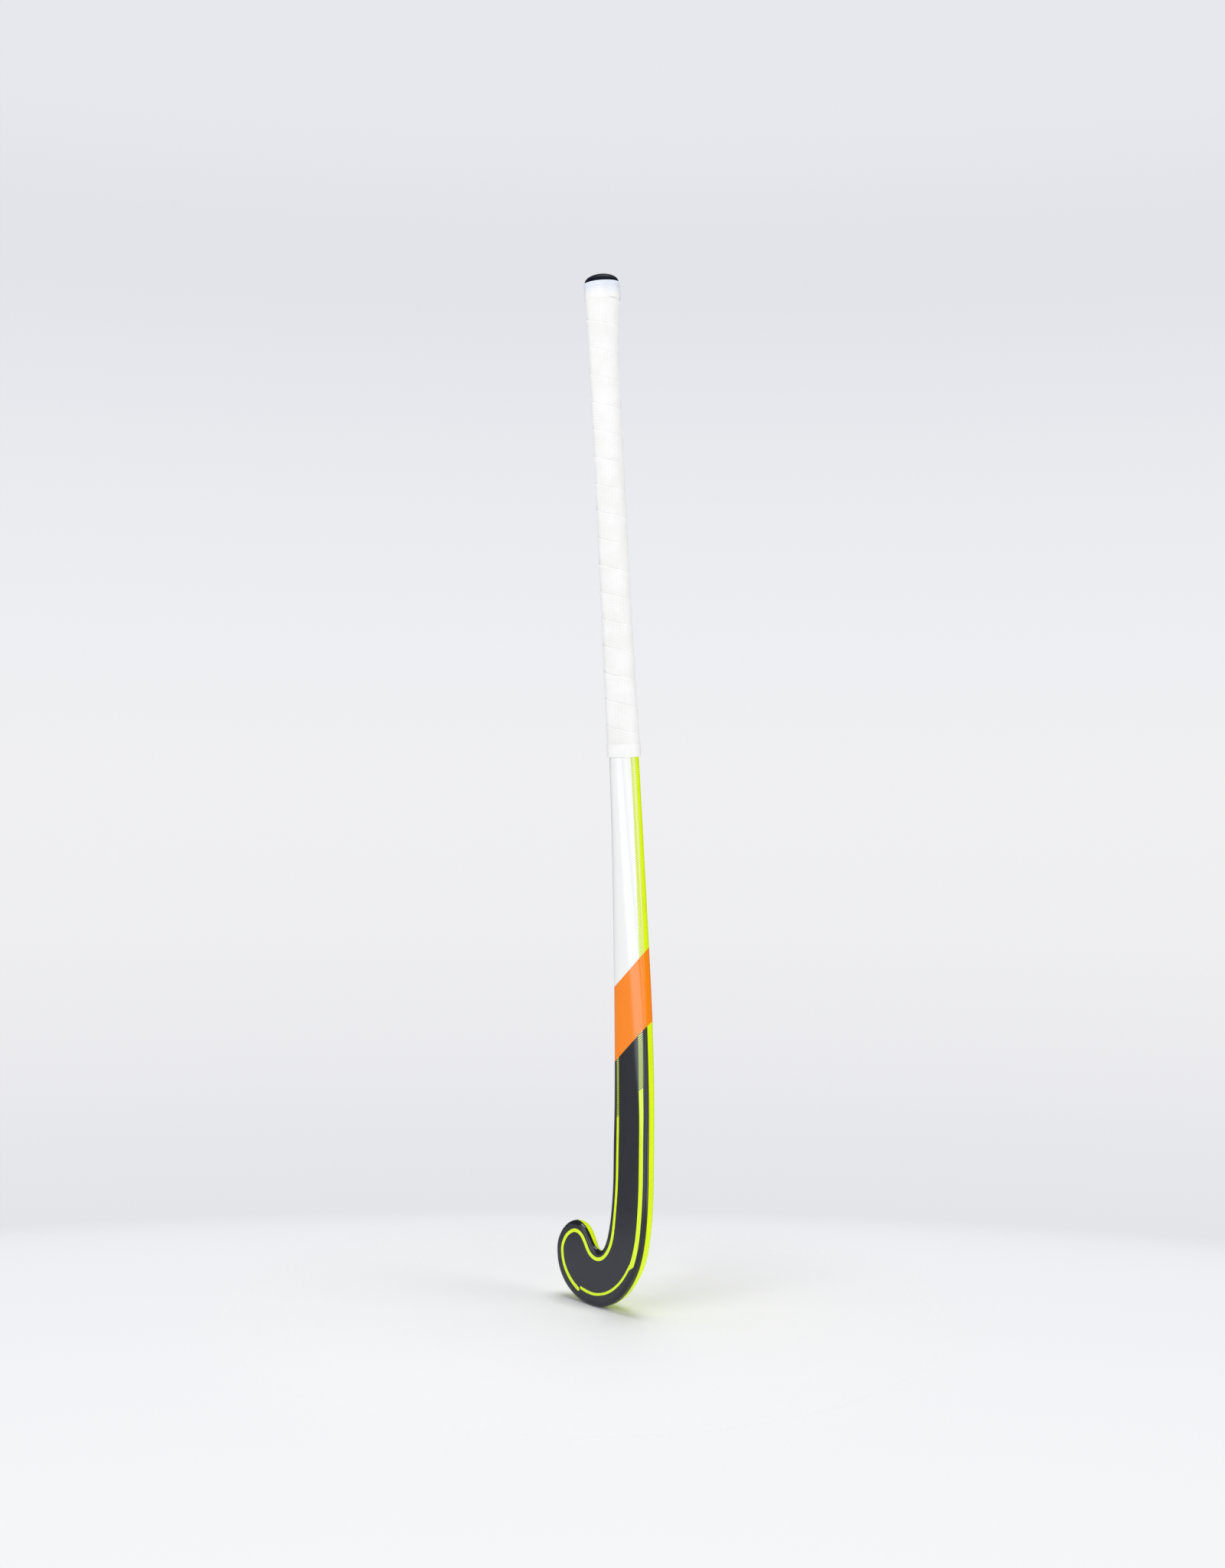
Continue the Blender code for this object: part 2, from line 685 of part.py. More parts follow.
def least_gap(loops):
    """Least distance between the points of one turn and those of the next."""
    least = math.inf
    for i, loop in enumerate(loops):
        for other in loops[i + GRIP_STEPS - 1:i + GRIP_STEPS + 2]:
            for point in loop:
                for neighbour in other:
                    least = min(least, (point - neighbour).length)
    return least


def world_bounds(objects):
    """Lowest and highest corners of the evaluated pieces."""
    graph = bpy.context.evaluated_depsgraph_get()
    low = Vector((math.inf, math.inf, math.inf))
    high = -low
    for obj in objects:
        evaluated = obj.evaluated_get(graph)
        for vert in evaluated.data.vertices:
            point = evaluated.matrix_world @ vert.co
            for axis in range(3):
                low[axis] = min(low[axis], point[axis])
                high[axis] = max(high[axis], point[axis])
    return low, high


def main():
    for obj in list(bpy.data.objects):
        bpy.data.objects.remove(obj)
    stick = bpy.data.collections.new("indoor_hockey_stick")
    cutters = bpy.data.collections.new("cutters")
    for collection in (stick, cutters):
        bpy.context.scene.collection.children.link(collection)

    front, back = laminates(cutters)
    pieces = [front, back, heel_guard(front, cutters), head_core(), centre_rib()]
    pieces += shaft_cores(cutters)
    pieces += [handle_plug(cutters), butt_cap(), grip_wrap(), finishing_tape(), top_band()]
    for piece in pieces:
        stick.objects.link(piece)
    bpy.context.view_layer.update()

    low, high = world_bounds(pieces)
    frame = bpy.data.objects.new("stick_frame", None)
    stick.objects.link(frame)
    for piece in pieces + list(cutters.objects):
        piece.parent = frame
    frame.location = (-(low.x + high.x) / 2, -(low.y + high.y) / 2, -low.z)
    bpy.context.view_layer.update()
    print("frame moved by", [round(value, 5) for value in frame.location])


main()
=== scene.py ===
"""Indoor hockey stick: the looks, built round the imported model.

Sizes are in metres. Shapes are written in the stick's own axes, where X = 0 is the middle of
the shaft and Y = 0 is the playing face, and are moved into the model's frame by FRAME_SHIFT.
"""

import math

import bmesh
import bpy
import numpy as np
from mathutils import Matrix, Vector


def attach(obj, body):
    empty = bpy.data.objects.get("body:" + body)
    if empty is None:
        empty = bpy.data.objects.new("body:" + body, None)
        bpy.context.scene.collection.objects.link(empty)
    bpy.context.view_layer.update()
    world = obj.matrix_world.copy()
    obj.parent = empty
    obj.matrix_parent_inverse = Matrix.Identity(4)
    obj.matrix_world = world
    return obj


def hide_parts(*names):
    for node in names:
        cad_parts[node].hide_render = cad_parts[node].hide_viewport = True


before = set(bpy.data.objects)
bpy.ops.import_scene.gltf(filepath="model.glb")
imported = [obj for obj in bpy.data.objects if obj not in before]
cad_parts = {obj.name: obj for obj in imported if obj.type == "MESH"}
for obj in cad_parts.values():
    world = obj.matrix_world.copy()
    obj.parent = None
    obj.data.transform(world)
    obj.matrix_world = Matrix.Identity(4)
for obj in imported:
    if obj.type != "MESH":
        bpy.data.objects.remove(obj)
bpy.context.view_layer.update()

MM = 0.001
FRAME_SHIFT = Vector((0.0386, 0.01762, 0.0))

# Length and bow
STICK_LENGTH = 928.0 * MM
BOW_START = 158.0 * MM
BOW_END = 306.0 * MM
BOW_ANGLE = math.radians(4.6)

# Blade, shaft and handle
BLADE_WIDTH = 44.0 * MM
BLADE_THICKNESS = 20.6 * MM
FACE_EDGE_DEPTH = 3.6 * MM
FACE_EDGE_RADIUS = 4.0 * MM
TAPER_START = 165.0 * MM
ROUNDING_START = 215.0 * MM
NECK_HEIGHT = 505.0 * MM
NECK_WIDTH = 28.8 * MM
LOWER_HAND_HEIGHT = 605.0 * MM
LOWER_HAND_WIDTH = 25.6 * MM
WAIST_HEIGHT = 755.0 * MM
HANDLE_WIDTH = 23.0 * MM
HANDLE_THICKNESS = 22.4 * MM
FLARE_START = 850.0 * MM
BUTT_TURN = 9.0 * MM
BUTT_WIDTH = 28.8 * MM
BUTT_THICKNESS = 26.0 * MM
RIM_WIDTH = 28.0 * MM
RIM_THICKNESS = 25.2 * MM
HANDLE_ROUNDNESS = 0.94

# Hook outline on the face
HEAD_LENGTH = 121.2 * MM
HOOK_START = 131.0 * MM
TOE_HEIGHT = 74.0 * MM
TOE_WAIST_HEIGHT = 43.3 * MM
TOE_TOP_INSET = 27.2 * MM
SOLE_DEPTH = 52.4 * MM
CROOK_REACH = 17.8 * MM
SOLE_REACH = 26.3 * MM
HEEL_INSET = 14.0 * MM
HEEL_HEIGHT = 41.0 * MM
HEEL_LEAN = math.radians(28)
HEEL_UPPER_HANDLE = 35.0 * MM
HEEL_ABOVE_HANDLE = 25.0 * MM
HEEL_BELOW_HANDLE = 27.0 * MM
HEEL_LOWER_HANDLE = 24.0 * MM
CROOK_DROP = 45.4 * MM
CROOK_RUN = 10.5 * MM
TOE_SLOPE_TOP = 19.1 * MM
TOE_SLOPE_FOOT = 13.1 * MM
TOE_SIDE_HANDLE = 15.3 * MM
TOE_TOP_HANDLE = 11.5 * MM
SOLE_CORNER_HANDLE = 0.6
HEAD_THICKNESS = 22.4 * MM
BLADE_FULLNESS = 2.35
HANDLE_FULLNESS = 2.0
HEAD_FULLNESS = 3.3
CROOK_FULLNESS = 1.5
HEEL_SHARE = 0.5
CROOK_SPLIT = 0.68
CROOK_LEAD = 1.4
SLOPE_SPLIT = 0.27

# Walls, cap, grip and bands
WALL = 2.4 * MM
WRAP_FIT = 0.35 * MM
CAP_HEIGHT = 8.0 * MM
CAP_SIDE = 0.6 * MM
CAP_OVERHANG = 1.6 * MM
SPIGOT_RADIUS = 5.5 * MM
SPIGOT_LENGTH = 14.0 * MM
GRIP_PITCH = 23.8 * MM
GRIP_START_TURN = math.radians(279)
GRIP_LAP = 2.2 * MM
FINISH_TAPE_LIP = 2.4 * MM
FINISH_TAPE_WIDTH = 12.0 * MM
TOP_BAND_WIDTH = 14.5 * MM
GUARD_WIDTH = 6.6 * MM
GUARD_THICKNESS = 0.9 * MM
GUARD_START = 0.95
GUARD_END = 2.46

# Places that follow
RIM_HEIGHT = STICK_LENGTH - CAP_HEIGHT
BUTT_HEIGHT = RIM_HEIGHT - BUTT_TURN
HALF_BLADE = BLADE_WIDTH / 2
TOE_X = HALF_BLADE - HEAD_LENGTH
CROOK_X = -HALF_BLADE - CROOK_REACH
SOLE_X = -HALF_BLADE - SOLE_REACH
HEEL_X = HALF_BLADE - HEEL_INSET
TOE_TOP_X = TOE_X + TOE_TOP_INSET


def piecewise(knots, height):
    """Smooth curve through (height, value) knots that never overshoots them."""
    if height <= knots[0][0]:
        return knots[0][1]
    if height >= knots[-1][0]:
        return knots[-1][1]
    rises = [(b[1] - a[1]) / (b[0] - a[0]) for a, b in zip(knots, knots[1:])]
    slopes = [0.0]
    for before, after in zip(rises, rises[1:]):
        same_way = before * after > 0
        slopes.append(2 * before * after / (before + after) if same_way else 0.0)
    slopes.append(0.0)
    for i, (low, high) in enumerate(zip(knots, knots[1:])):
        if height <= high[0]:
            break
    run = high[0] - low[0]
    t = (height - low[0]) / run
    value = low[1] * (1 + 2 * t) * (1 - t) ** 2 + high[1] * t * t * (3 - 2 * t)
    return value + run * (slopes[i] * t * (1 - t) ** 2 - slopes[i + 1] * t * t * (1 - t))


WIDTH_KNOTS = [
    (0.0, BLADE_WIDTH),
    (TAPER_START, BLADE_WIDTH),
    (NECK_HEIGHT, NECK_WIDTH),
    (LOWER_HAND_HEIGHT, LOWER_HAND_WIDTH),
    (WAIST_HEIGHT, HANDLE_WIDTH),
    (FLARE_START, HANDLE_WIDTH),
    (BUTT_HEIGHT, BUTT_WIDTH),
    (RIM_HEIGHT, RIM_WIDTH),
]
THICKNESS_KNOTS = [
    (0.0, BLADE_THICKNESS),
    (TAPER_START, BLADE_THICKNESS),
    (NECK_HEIGHT, HANDLE_THICKNESS),
    (FLARE_START, HANDLE_THICKNESS),
    (BUTT_HEIGHT, BUTT_THICKNESS),
    (RIM_HEIGHT, RIM_THICKNESS),
]
ROUNDNESS_KNOTS = [(ROUNDING_START, 0.0), (NECK_HEIGHT, 1.0)]
FULLNESS_KNOTS = [(NECK_HEIGHT, BLADE_FULLNESS), (LOWER_HAND_HEIGHT, HANDLE_FULLNESS)]
# The front edges grow softer above the blade, sooner than their depth does
CORNER_KNOTS = [
    (150.0 * MM, FACE_EDGE_RADIUS),
    (195.0 * MM, 9.5 * MM),
    (245.0 * MM, 16.0 * MM),
    (320.0 * MM, 16.8 * MM),
    (NECK_HEIGHT, HANDLE_ROUNDNESS * NECK_WIDTH / 2),
]
CORNER_STEPS = 12
FACE_STEPS = 52
REAR_STEPS = 48


class Section:
    """One cross-section: where it lies, which way it faces and its sizes."""

    def __init__(
            self, origin, across, back, half, edge, corner, rear, lift,
            outer_fullness, inner_fullness):
        self.origin, self.across, self.back = origin, across, back
        self.half, self.edge, self.corner = half, edge, corner
        self.rear, self.lift = rear, lift
        self.outer_fullness = outer_fullness
        self.inner_fullness = inner_fullness

    def place(self, x, y):
        return self.origin + self.across * x + self.back * y

    def front_point(self, side, turn, offset=0.0):
        """Front edge: turn is 0 on the widest line and a quarter turn on the face."""
        x = side * (self.half - self.corner + (self.corner + offset) * math.cos(turn))
        return self.place(x, self.edge - (self.edge - self.lift + offset) * math.sin(turn))

    def rear_point(self, turn, offset=0.0):
        """Back: turn is 0 on the heel side's widest line and a half turn on the toe side's."""
        power = 2 / (self.outer_fullness if math.cos(turn) > 0 else self.inner_fullness)
        x = (self.half + offset) * math.copysign(abs(math.cos(turn)) ** power, math.cos(turn))
        return self.place(x, self.edge + (self.rear + offset) * abs(math.sin(turn)) ** power)

    def around_point(self, turn, offset):
        """Point at any turn, 0 on the heel side and a quarter turn on the back."""
        if math.sin(turn) >= 0:
            return self.rear_point(turn, offset)
        if abs(math.cos(turn)) < 1e-6:
            return self.front_point(0, math.pi / 2, offset)
        side = math.copysign(1, math.cos(turn))
        return self.front_point(side, math.atan2(-math.sin(turn), abs(math.cos(turn))), offset)

    def front_path(self, offset=0.0):
        """Points over the front, from the heel side's widest line to the toe side's."""
        turns = [math.pi / 2 * i / CORNER_STEPS for i in range(CORNER_STEPS + 1)]
        heel = [self.front_point(1, turn, offset) for turn in turns]
        toe = [self.front_point(-1, turn, offset) for turn in reversed(turns)]
        flat = [heel[-1].lerp(toe[0], i / FACE_STEPS) for i in range(1, FACE_STEPS)]
        return heel + flat + toe

    def rear_path(self, offset=0.0):
        """Points over the back, from the toe side's widest line to the heel side's."""
        shares = [1 + math.cos(math.pi * i / REAR_STEPS) for i in range(REAR_STEPS + 1)]
        return [self.rear_point(math.pi / 2 * share, offset) for share in shares]

    def middle(self):
        return self.place(0.0, (self.edge + self.rear + self.lift) / 2)


def face_line(height):
    """Depth, height above the sole and lean of the face line at a height along the stick."""
    if height <= BOW_START:
        return 0.0, height, 0.0
    bend_length = BOW_END - BOW_START
    radius = bend_length / BOW_ANGLE
    lean = min(height - BOW_START, bend_length) / radius
    depth = -radius * (1 - math.cos(lean))
    rise = BOW_START + radius * math.sin(lean)
    beyond = max(height - BOW_END, 0.0)
    return depth - beyond * math.sin(lean), rise + beyond * math.cos(lean), lean


def shaft_section(height):
    depth, rise, lean = face_line(height)
    width = piecewise(WIDTH_KNOTS, height)
    thickness = piecewise(THICKNESS_KNOTS, height)
    roundness = piecewise(ROUNDNESS_KNOTS, height)
    fullness = piecewise(FULLNESS_KNOTS, height)
    edge = FACE_EDGE_DEPTH + (thickness / 2 - FACE_EDGE_DEPTH) * roundness
    corner = HANDLE_ROUNDNESS * width / 2
    if height < NECK_HEIGHT:
        corner = piecewise(CORNER_KNOTS, height)
    back = Vector((0.0, math.cos(lean), math.sin(lean)))
    return Section(
        Vector((0.0, depth, rise)), Vector((1, 0, 0)), back,
        width / 2, edge, corner, thickness - edge, 0.0, fullness, fullness)


def bezier(points, t):
    """Point on a cubic curve given by four (x, z) points."""
    s = 1 - t
    weights = (s * s * s, 3 * s * s * t, 3 * s * t * t, t * t * t)
    x = sum(w * p[0] for w, p in zip(weights, points))
    z = sum(w * p[1] for w, p in zip(weights, points))
    return Vector((x, 0.0, z))


HEEL_CURVE = [
    (HALF_BLADE, HOOK_START),
    (HALF_BLADE, HOOK_START - HEEL_UPPER_HANDLE),
    (HEEL_X + HEEL_ABOVE_HANDLE * math.sin(HEEL_LEAN),
     HEEL_HEIGHT + HEEL_ABOVE_HANDLE * math.cos(HEEL_LEAN)),
    (HEEL_X, HEEL_HEIGHT),
]
RUN_CURVE = [
    (HEEL_X, HEEL_HEIGHT),
    (HEEL_X - HEEL_BELOW_HANDLE * math.sin(HEEL_LEAN),
     HEEL_HEIGHT - HEEL_BELOW_HANDLE * math.cos(HEEL_LEAN)),
    (SOLE_X + HEEL_LOWER_HANDLE, 0.0),
    (SOLE_X, 0.0),
]
SOLE_CURVE = [
    (SOLE_X, 0.0),
    (SOLE_X + (TOE_X - SOLE_X) * SOLE_CORNER_HANDLE, 0.0),
    (TOE_X, TOE_WAIST_HEIGHT * (1 - SOLE_CORNER_HANDLE)),
    (TOE_X, TOE_WAIST_HEIGHT),
]
TOE_CURVE = [
    (TOE_X, TOE_WAIST_HEIGHT),
    (TOE_X, TOE_WAIST_HEIGHT + TOE_SIDE_HANDLE),
    (TOE_TOP_X - TOE_TOP_HANDLE, TOE_HEIGHT),
    (TOE_TOP_X, TOE_HEIGHT),
]
CROOK_CURVE = [
    (-HALF_BLADE, HOOK_START),
    (-HALF_BLADE, HOOK_START - CROOK_DROP),
    (CROOK_X + CROOK_RUN, SOLE_DEPTH),
    (CROOK_X, SOLE_DEPTH),
]
SLOPE_CURVE = [
    (CROOK_X, SOLE_DEPTH),
    (CROOK_X - TOE_SLOPE_FOOT, SOLE_DEPTH),
    (TOE_TOP_X + TOE_SLOPE_TOP, TOE_HEIGHT),
    (TOE_TOP_X, TOE_HEIGHT),
]


def rounded_off(distance, radius):
    """Share of the full depth left at a distance from a rounded end."""
    short = max(1 - distance / radius, 0.0)
    return math.sqrt(1 - short * short)


def hook_section(outer, inner, into_hook=1.0):
    """Section across the hook between a point on its outer edge and one on its inner edge."""
    thickness = BLADE_THICKNESS + (HEAD_THICKNESS - BLADE_THICKNESS) * into_hook
    outer_fullness = BLADE_FULLNESS + (HEAD_FULLNESS - BLADE_FULLNESS) * into_hook
    inner_fullness = BLADE_FULLNESS + (CROOK_FULLNESS - BLADE_FULLNESS) * into_hook
    across = outer - inner
    half = across.length / 2
    middle = (outer + inner) / 2
    below_tip = TOE_HEIGHT - middle.z
    rear = thickness - FACE_EDGE_DEPTH
    depth = FACE_EDGE_DEPTH
    if inner.x < CROOK_X:
        depth *= rounded_off(below_tip, FACE_EDGE_RADIUS)
        rear *= rounded_off(below_tip, HALF_BLADE)
    corner = min(FACE_EDGE_RADIUS, half * HANDLE_ROUNDNESS)
    lift = FACE_EDGE_DEPTH - depth
    return Section(
        middle, across.normalized(), Vector((0, 1, 0)),
        half, FACE_EDGE_DEPTH, corner, rear, lift, outer_fullness, inner_fullness)


HEEL_STEPS = 60
RUN_STEPS = 60
SOLE_STEPS = 52
TOE_STEPS = 60
TOE_LAST = 0.992
TOE_CROWDING = 1.5
CAVITY_TOE_END = 0.76


def toe_share(step):
    """How far along the toe's curves a step lies: the steps crowd together toward their end."""
    return TOE_LAST * (1 - (1 - step / TOE_STEPS) ** TOE_CROWDING)


def hook_sections():
    """Sections from the start of the hook, round the heel and sole, and up to the toe."""
    sections = []
    for i in range(1, HEEL_STEPS + 1):
        t = i / HEEL_STEPS
        inner = bezier(CROOK_CURVE, CROOK_SPLIT * t)
        sections.append(hook_section(bezier(HEEL_CURVE, t), inner, HEEL_SHARE * t * t))
    for i in range(1, RUN_STEPS + 1):
        t = i / RUN_STEPS
        inner = bezier(CROOK_CURVE, 1 - (1 - CROOK_SPLIT) * (1 - t) ** CROOK_LEAD)
        into_hook = HEEL_SHARE + (1 - HEEL_SHARE) * t
        sections.append(hook_section(bezier(RUN_CURVE, t), inner, into_hook))
    for i in range(1, SOLE_STEPS + 1):
        t = i / SOLE_STEPS
        sections.append(hook_section(bezier(SOLE_CURVE, t), bezier(SLOPE_CURVE, SLOPE_SPLIT * t)))
    for i in range(1, TOE_STEPS + 1):
        t = toe_share(i)
        inner = bezier(SLOPE_CURVE, SLOPE_SPLIT + (1 - SLOPE_SPLIT) * t)
        sections.append(hook_section(bezier(TOE_CURVE, t), inner))
    return sections


def steps_between(high, low, step):
    """Heights from high down to low in even steps of about the given size."""
    count = max(round((high - low) / step), 1)
    return [high + (low - high) * i / count for i in range(count + 1)]


def add_object(name, data):
    obj = bpy.data.objects.new(name, data)
    bpy.context.scene.collection.objects.link(obj)
    return obj


def skin(name, rings, cyclic=False, values=None, crease=35):
    """Closed mesh through rings of equally many points, with named values at its points."""
    count = len(rings[0])
    verts = [point + FRAME_SHIFT for ring in rings for point in ring]
    faces = []
    for i in range(len(rings) - (0 if cyclic else 1)):
        first = i * count
        second = (i + 1) % len(rings) * count
        for j in range(count):
            k = (j + 1) % count
            faces.append((first + j, second + j, second + k, first + k))
    if not cyclic:
        faces.append(tuple(range(count)))
        faces.append(tuple(range(len(verts) - 1, len(verts) - count - 1, -1)))
    mesh = bpy.data.meshes.new(name)
    mesh.from_pydata(verts, [], faces)
    for key, numbers in (values or {}).items():
        layer = mesh.attributes.new(key, "FLOAT", "POINT")
        layer.data.foreach_set("value", np.asarray(numbers, dtype=np.float32))
    build = bmesh.new()
    build.from_mesh(mesh)
    bmesh.ops.recalc_face_normals(build, faces=build.faces)
    build.to_mesh(mesh)
    build.free()
    mesh.shade_smooth()
    mesh.set_sharp_from_angle(angle=math.radians(crease))
    return add_object(name, mesh)


def dress(obj, material, slot, *nodes):
    """Gives a new piece its material and its body, and hides the CAD nodes it stands for; the slot
    is not used.
    """
    obj.data.materials.append(material)
    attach(obj, "root")
    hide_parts(*nodes)


# Camera
LENS_PIXELS = 2389.0
IMAGE_HEIGHT = 2048
SENSOR_HEIGHT = 36.0
CLIP_NEAR = 0.05
CLIP_FAR = 50
CAMERA_TURN = math.radians(48)
CAMERA_ROLL = math.radians(0.59)
CAMERA_SIDE = 17.58 * MM
CAMERA_DISTANCE = 1.639
CAMERA_HEIGHT = 0.4784


def add_camera():
    data = bpy.data.cameras.new("camera")
    data.sensor_fit = "VERTICAL"
    data.sensor_height = SENSOR_HEIGHT
    data.lens = LENS_PIXELS / IMAGE_HEIGHT * SENSOR_HEIGHT
    data.clip_start = CLIP_NEAR
    data.clip_end = CLIP_FAR
    camera = add_object("camera", data)
    across = Vector((math.cos(CAMERA_TURN), math.sin(CAMERA_TURN), 0))
    away = Vector((-math.sin(CAMERA_TURN), math.cos(CAMERA_TURN), 0))
    place = -across * CAMERA_SIDE - away * CAMERA_DISTANCE
    place.z = CAMERA_HEIGHT
    turn = Matrix.Rotation(CAMERA_TURN, 4, "Z")
    level = Matrix.Rotation(math.pi / 2, 4, "X")
    roll = Matrix.Rotation(CAMERA_ROLL, 4, "Z")
    camera.matrix_world = Matrix.Translation(place + FRAME_SHIFT) @ turn @ level @ roll
    bpy.context.scene.camera = camera


def srgb(red, green, blue):
    """Linear colour of a colour given as 0 to 255 on a screen."""
    shares = (value / 255 for value in (red, green, blue))
    linear = [s / 12.92 if s <= 0.04045 else ((s + 0.055) / 1.055) ** 2.4 for s in shares]
    return (*linear, 1.0)


# Where a mix node keeps its two colours and its mixed colour
MIX_FIRST = 6
MIX_SECOND = 7
MIX_RESULT = 2


class Graph:
    """Short names for adding and joining a node tree's nodes."""

    def __init__(self, tree):
        self.tree = tree

    def node(self, kind, **settings):
        made = self.tree.nodes.new(kind)
        for key, value in settings.items():
            setattr(made, key, value)
        return made

    def feed(self, socket, value):
        if isinstance(value, bpy.types.NodeSocket):
            self.tree.links.new(value, socket)
        else:
            socket.default_value = value

    def fill(self, node, *values):
        """Feeds a node's sockets in their order."""
        for socket, value in zip(node.inputs, values):
            self.feed(socket, value)

    def join(self, node, **values):
        """Feeds a node's sockets by name, with _ written for a space."""
        for key, value in values.items():
            self.feed(node.inputs[key.replace("_", " ")], value)

    def math(self, operation, *values):
        made = self.node("ShaderNodeMath", operation=operation)
        self.fill(made, *values)
        return made.outputs[0]

    def add(self, *values):
        return self.math("ADD", *values)

    def times(self, *values):
        return self.math("MULTIPLY", *values)

    def ramp(self, value, low, high, to_low=0.0, to_high=1.0, smooth=True):
        """Value between low and high carried over to between to_low and to_high."""
        kind = "SMOOTHSTEP" if smooth else "LINEAR"
        made = self.node("ShaderNodeMapRange", interpolation_type=kind)
        self.fill(made, value, low, high, to_low, to_high)
        return made.outputs[0]

    def below(self, value, edge, soft=0.12):
        """1 where a value lies below an edge and 0 above it, with a soft step."""
        return self.ramp(value, edge - soft, edge + soft, 1.0, 0.0)

    def above(self, value, edge, soft):
        """0 where a value lies below an edge and 1 above it, with a soft step."""
        return self.ramp(value, edge - soft, edge + soft)

    def mix(self, share, first, second):
        made = self.node("ShaderNodeMix", data_type="RGBA")
        self.feed(made.inputs[0], share)
        self.feed(made.inputs[MIX_FIRST], first)
        self.feed(made.inputs[MIX_SECOND], second)
        return made.outputs[MIX_RESULT]

    def value(self, name):
        return self.node("ShaderNodeAttribute", attribute_name=name).outputs["Fac"]

    def noise(self, vector, scale, detail):
        made = self.node("ShaderNodeTexNoise")
        self.join(made, Vector=vector, Scale=scale, Detail=detail)
        return made.outputs["Fac"]

    def bump(self, height, strength, distance, **normal):
        """Bumps of a height in metres, on top of an earlier Normal where one is given."""
        made = self.node("ShaderNodeBump")
        self.join(made, Height=height, Strength=strength, Distance=distance, **normal)
        return made.outputs["Normal"]


def new_material(name, **sockets):
    """Material with a Principled shader, its plain sockets set, and its graph."""
    material = bpy.data.materials.new(name)
    material.use_nodes = True
    shader = material.node_tree.nodes["Principled BSDF"]
    graph = Graph(material.node_tree)
    graph.join(shader, **sockets)
    place = graph.node("ShaderNodeTexCoord").outputs["Object"]
    return material, shader, graph, place


def straight(start, end):
    """A straight run written as a curve's four points."""
    return [tuple(a + (b - a) * i / 3 for a, b in zip(start, end)) for i in range(4)]


# Walk round the face: place 0 is the top of the shaft's toe side, and each curve adds 1
PRINT_TOP = 290.0 * MM
OUTLINE = [
    straight((-HALF_BLADE, PRINT_TOP), (-HALF_BLADE, HOOK_START)),
    CROOK_CURVE,
    SLOPE_CURVE,
    TOE_CURVE[::-1],
    SOLE_CURVE[::-1],
    RUN_CURVE[::-1],
    HEEL_CURVE[::-1],
    straight((HALF_BLADE, HOOK_START), (HALF_BLADE, PRINT_TOP)),
]

# Printed stripes: (place, distance in from the outline, width), in millimetres
INNER_STRIPE = [
    (0.0, 7.4, 3.4), (0.45, 7.6, 3.2), (0.6, 7.75, 2.8), (1.0, 7.3, 2.9), (1.3, 6.9, 2.9),
    (1.6, 7.9, 3.2), (1.87, 7.0, 3.0), (2.12, 8.25, 3.6), (2.47, 7.0, 3.9), (3.0, 8.8, 3.2),
    (3.15, 9.0, 2.9), (3.5, 8.75, 3.0), (4.0, 9.6, 3.3), (4.4, 10.75, 3.6), (4.7, 9.8, 3.6),
    (4.765, 9.1, 3.4),
]
SOLE_STRIPE = [
    (4.785, 12.2, 2.9), (5.0, 11.9, 2.6), (5.2, 11.6, 2.3), (5.5, 10.05, 2.3),
    (5.8, 8.1, 2.3), (6.0, 7.15, 2.3), (6.05, 7.0, 2.3),
]
HEEL_STRIPE = [
    (5.9, 5.2, 5.0), (6.3, 5.2, 5.0), (6.6, 5.55, 5.1), (7.0, 5.45, 5.1), (7.3, 5.6, 4.7),
    (7.5, 6.25, 4.7), (8.0, 6.45, 4.9),
]
HEEL_STRIPE_FOOT = (3.45, 43.84)
HEEL_STRIPE_FOOT_SLOPE = math.radians(34)
STRIPE_STEPS = 26
NEARBY = 0.001


def outline_point(place):
    part = min(int(place), len(OUTLINE) - 1)
    return bezier(OUTLINE[part], place - part)


def heading(point_at, place):
    """Direction in which a walk along points runs at a place on it."""
    return (point_at(place + NEARBY) - point_at(place - NEARBY)).normalized()


def stripe_line(knots):
    """Points (X, Z) along the middle of a stripe, and its half width at each, in mm."""
    insets = [(place, inset) for place, inset, width in knots]
    widths = [(place, width) for place, inset, width in knots]
    first = max(knots[0][0], NEARBY)
    last = min(knots[-1][0], len(OUTLINE) - NEARBY)
    count = int((last - first) * STRIPE_STEPS) + 2
    line = []
    halves = []
    for i in range(count + 1):
        place = first + (last - first) * i / count
        ahead = heading(outline_point, place)
        inward = Vector((-ahead.z, 0.0, ahead.x))
        point = outline_point(place) / MM + inward * piecewise(insets, place)
        line.append((point.x, point.z))
        halves.append(piecewise(widths, place) / 2)
    return np.array(line), np.array(halves)


def distance_to_stripe(points, knots):
    """Signed distance of each point to the edge of a stripe with square ends."""
    line, halves = stripe_line(knots)
    best = np.full(len(points), np.inf)
    signed = np.zeros(len(points))
    last = len(line) - 2
    for i, (a, b) in enumerate(zip(line, line[1:])):
        run = b - a
        length = np.linalg.norm(run)
        along = ((points - a) @ run) / length
        t = np.clip(along / length, 0, 1)
        gap = np.linalg.norm(points - a - t[:, None] * run, axis=1)
        near = gap < best
        best[near] = gap[near]
        beside = gap - (halves[i] + (halves[i + 1] - halves[i]) * t)
        if i in (0, last):
            beyond = -along if i == 0 else along - length
            across = np.abs((points - a) @ np.array((-run[1], run[0]))) / length - halves[i]
            beside = np.where(beyond > 0, np.maximum(across, beyond), beside)
        signed[near] = beside[near]
    return signed


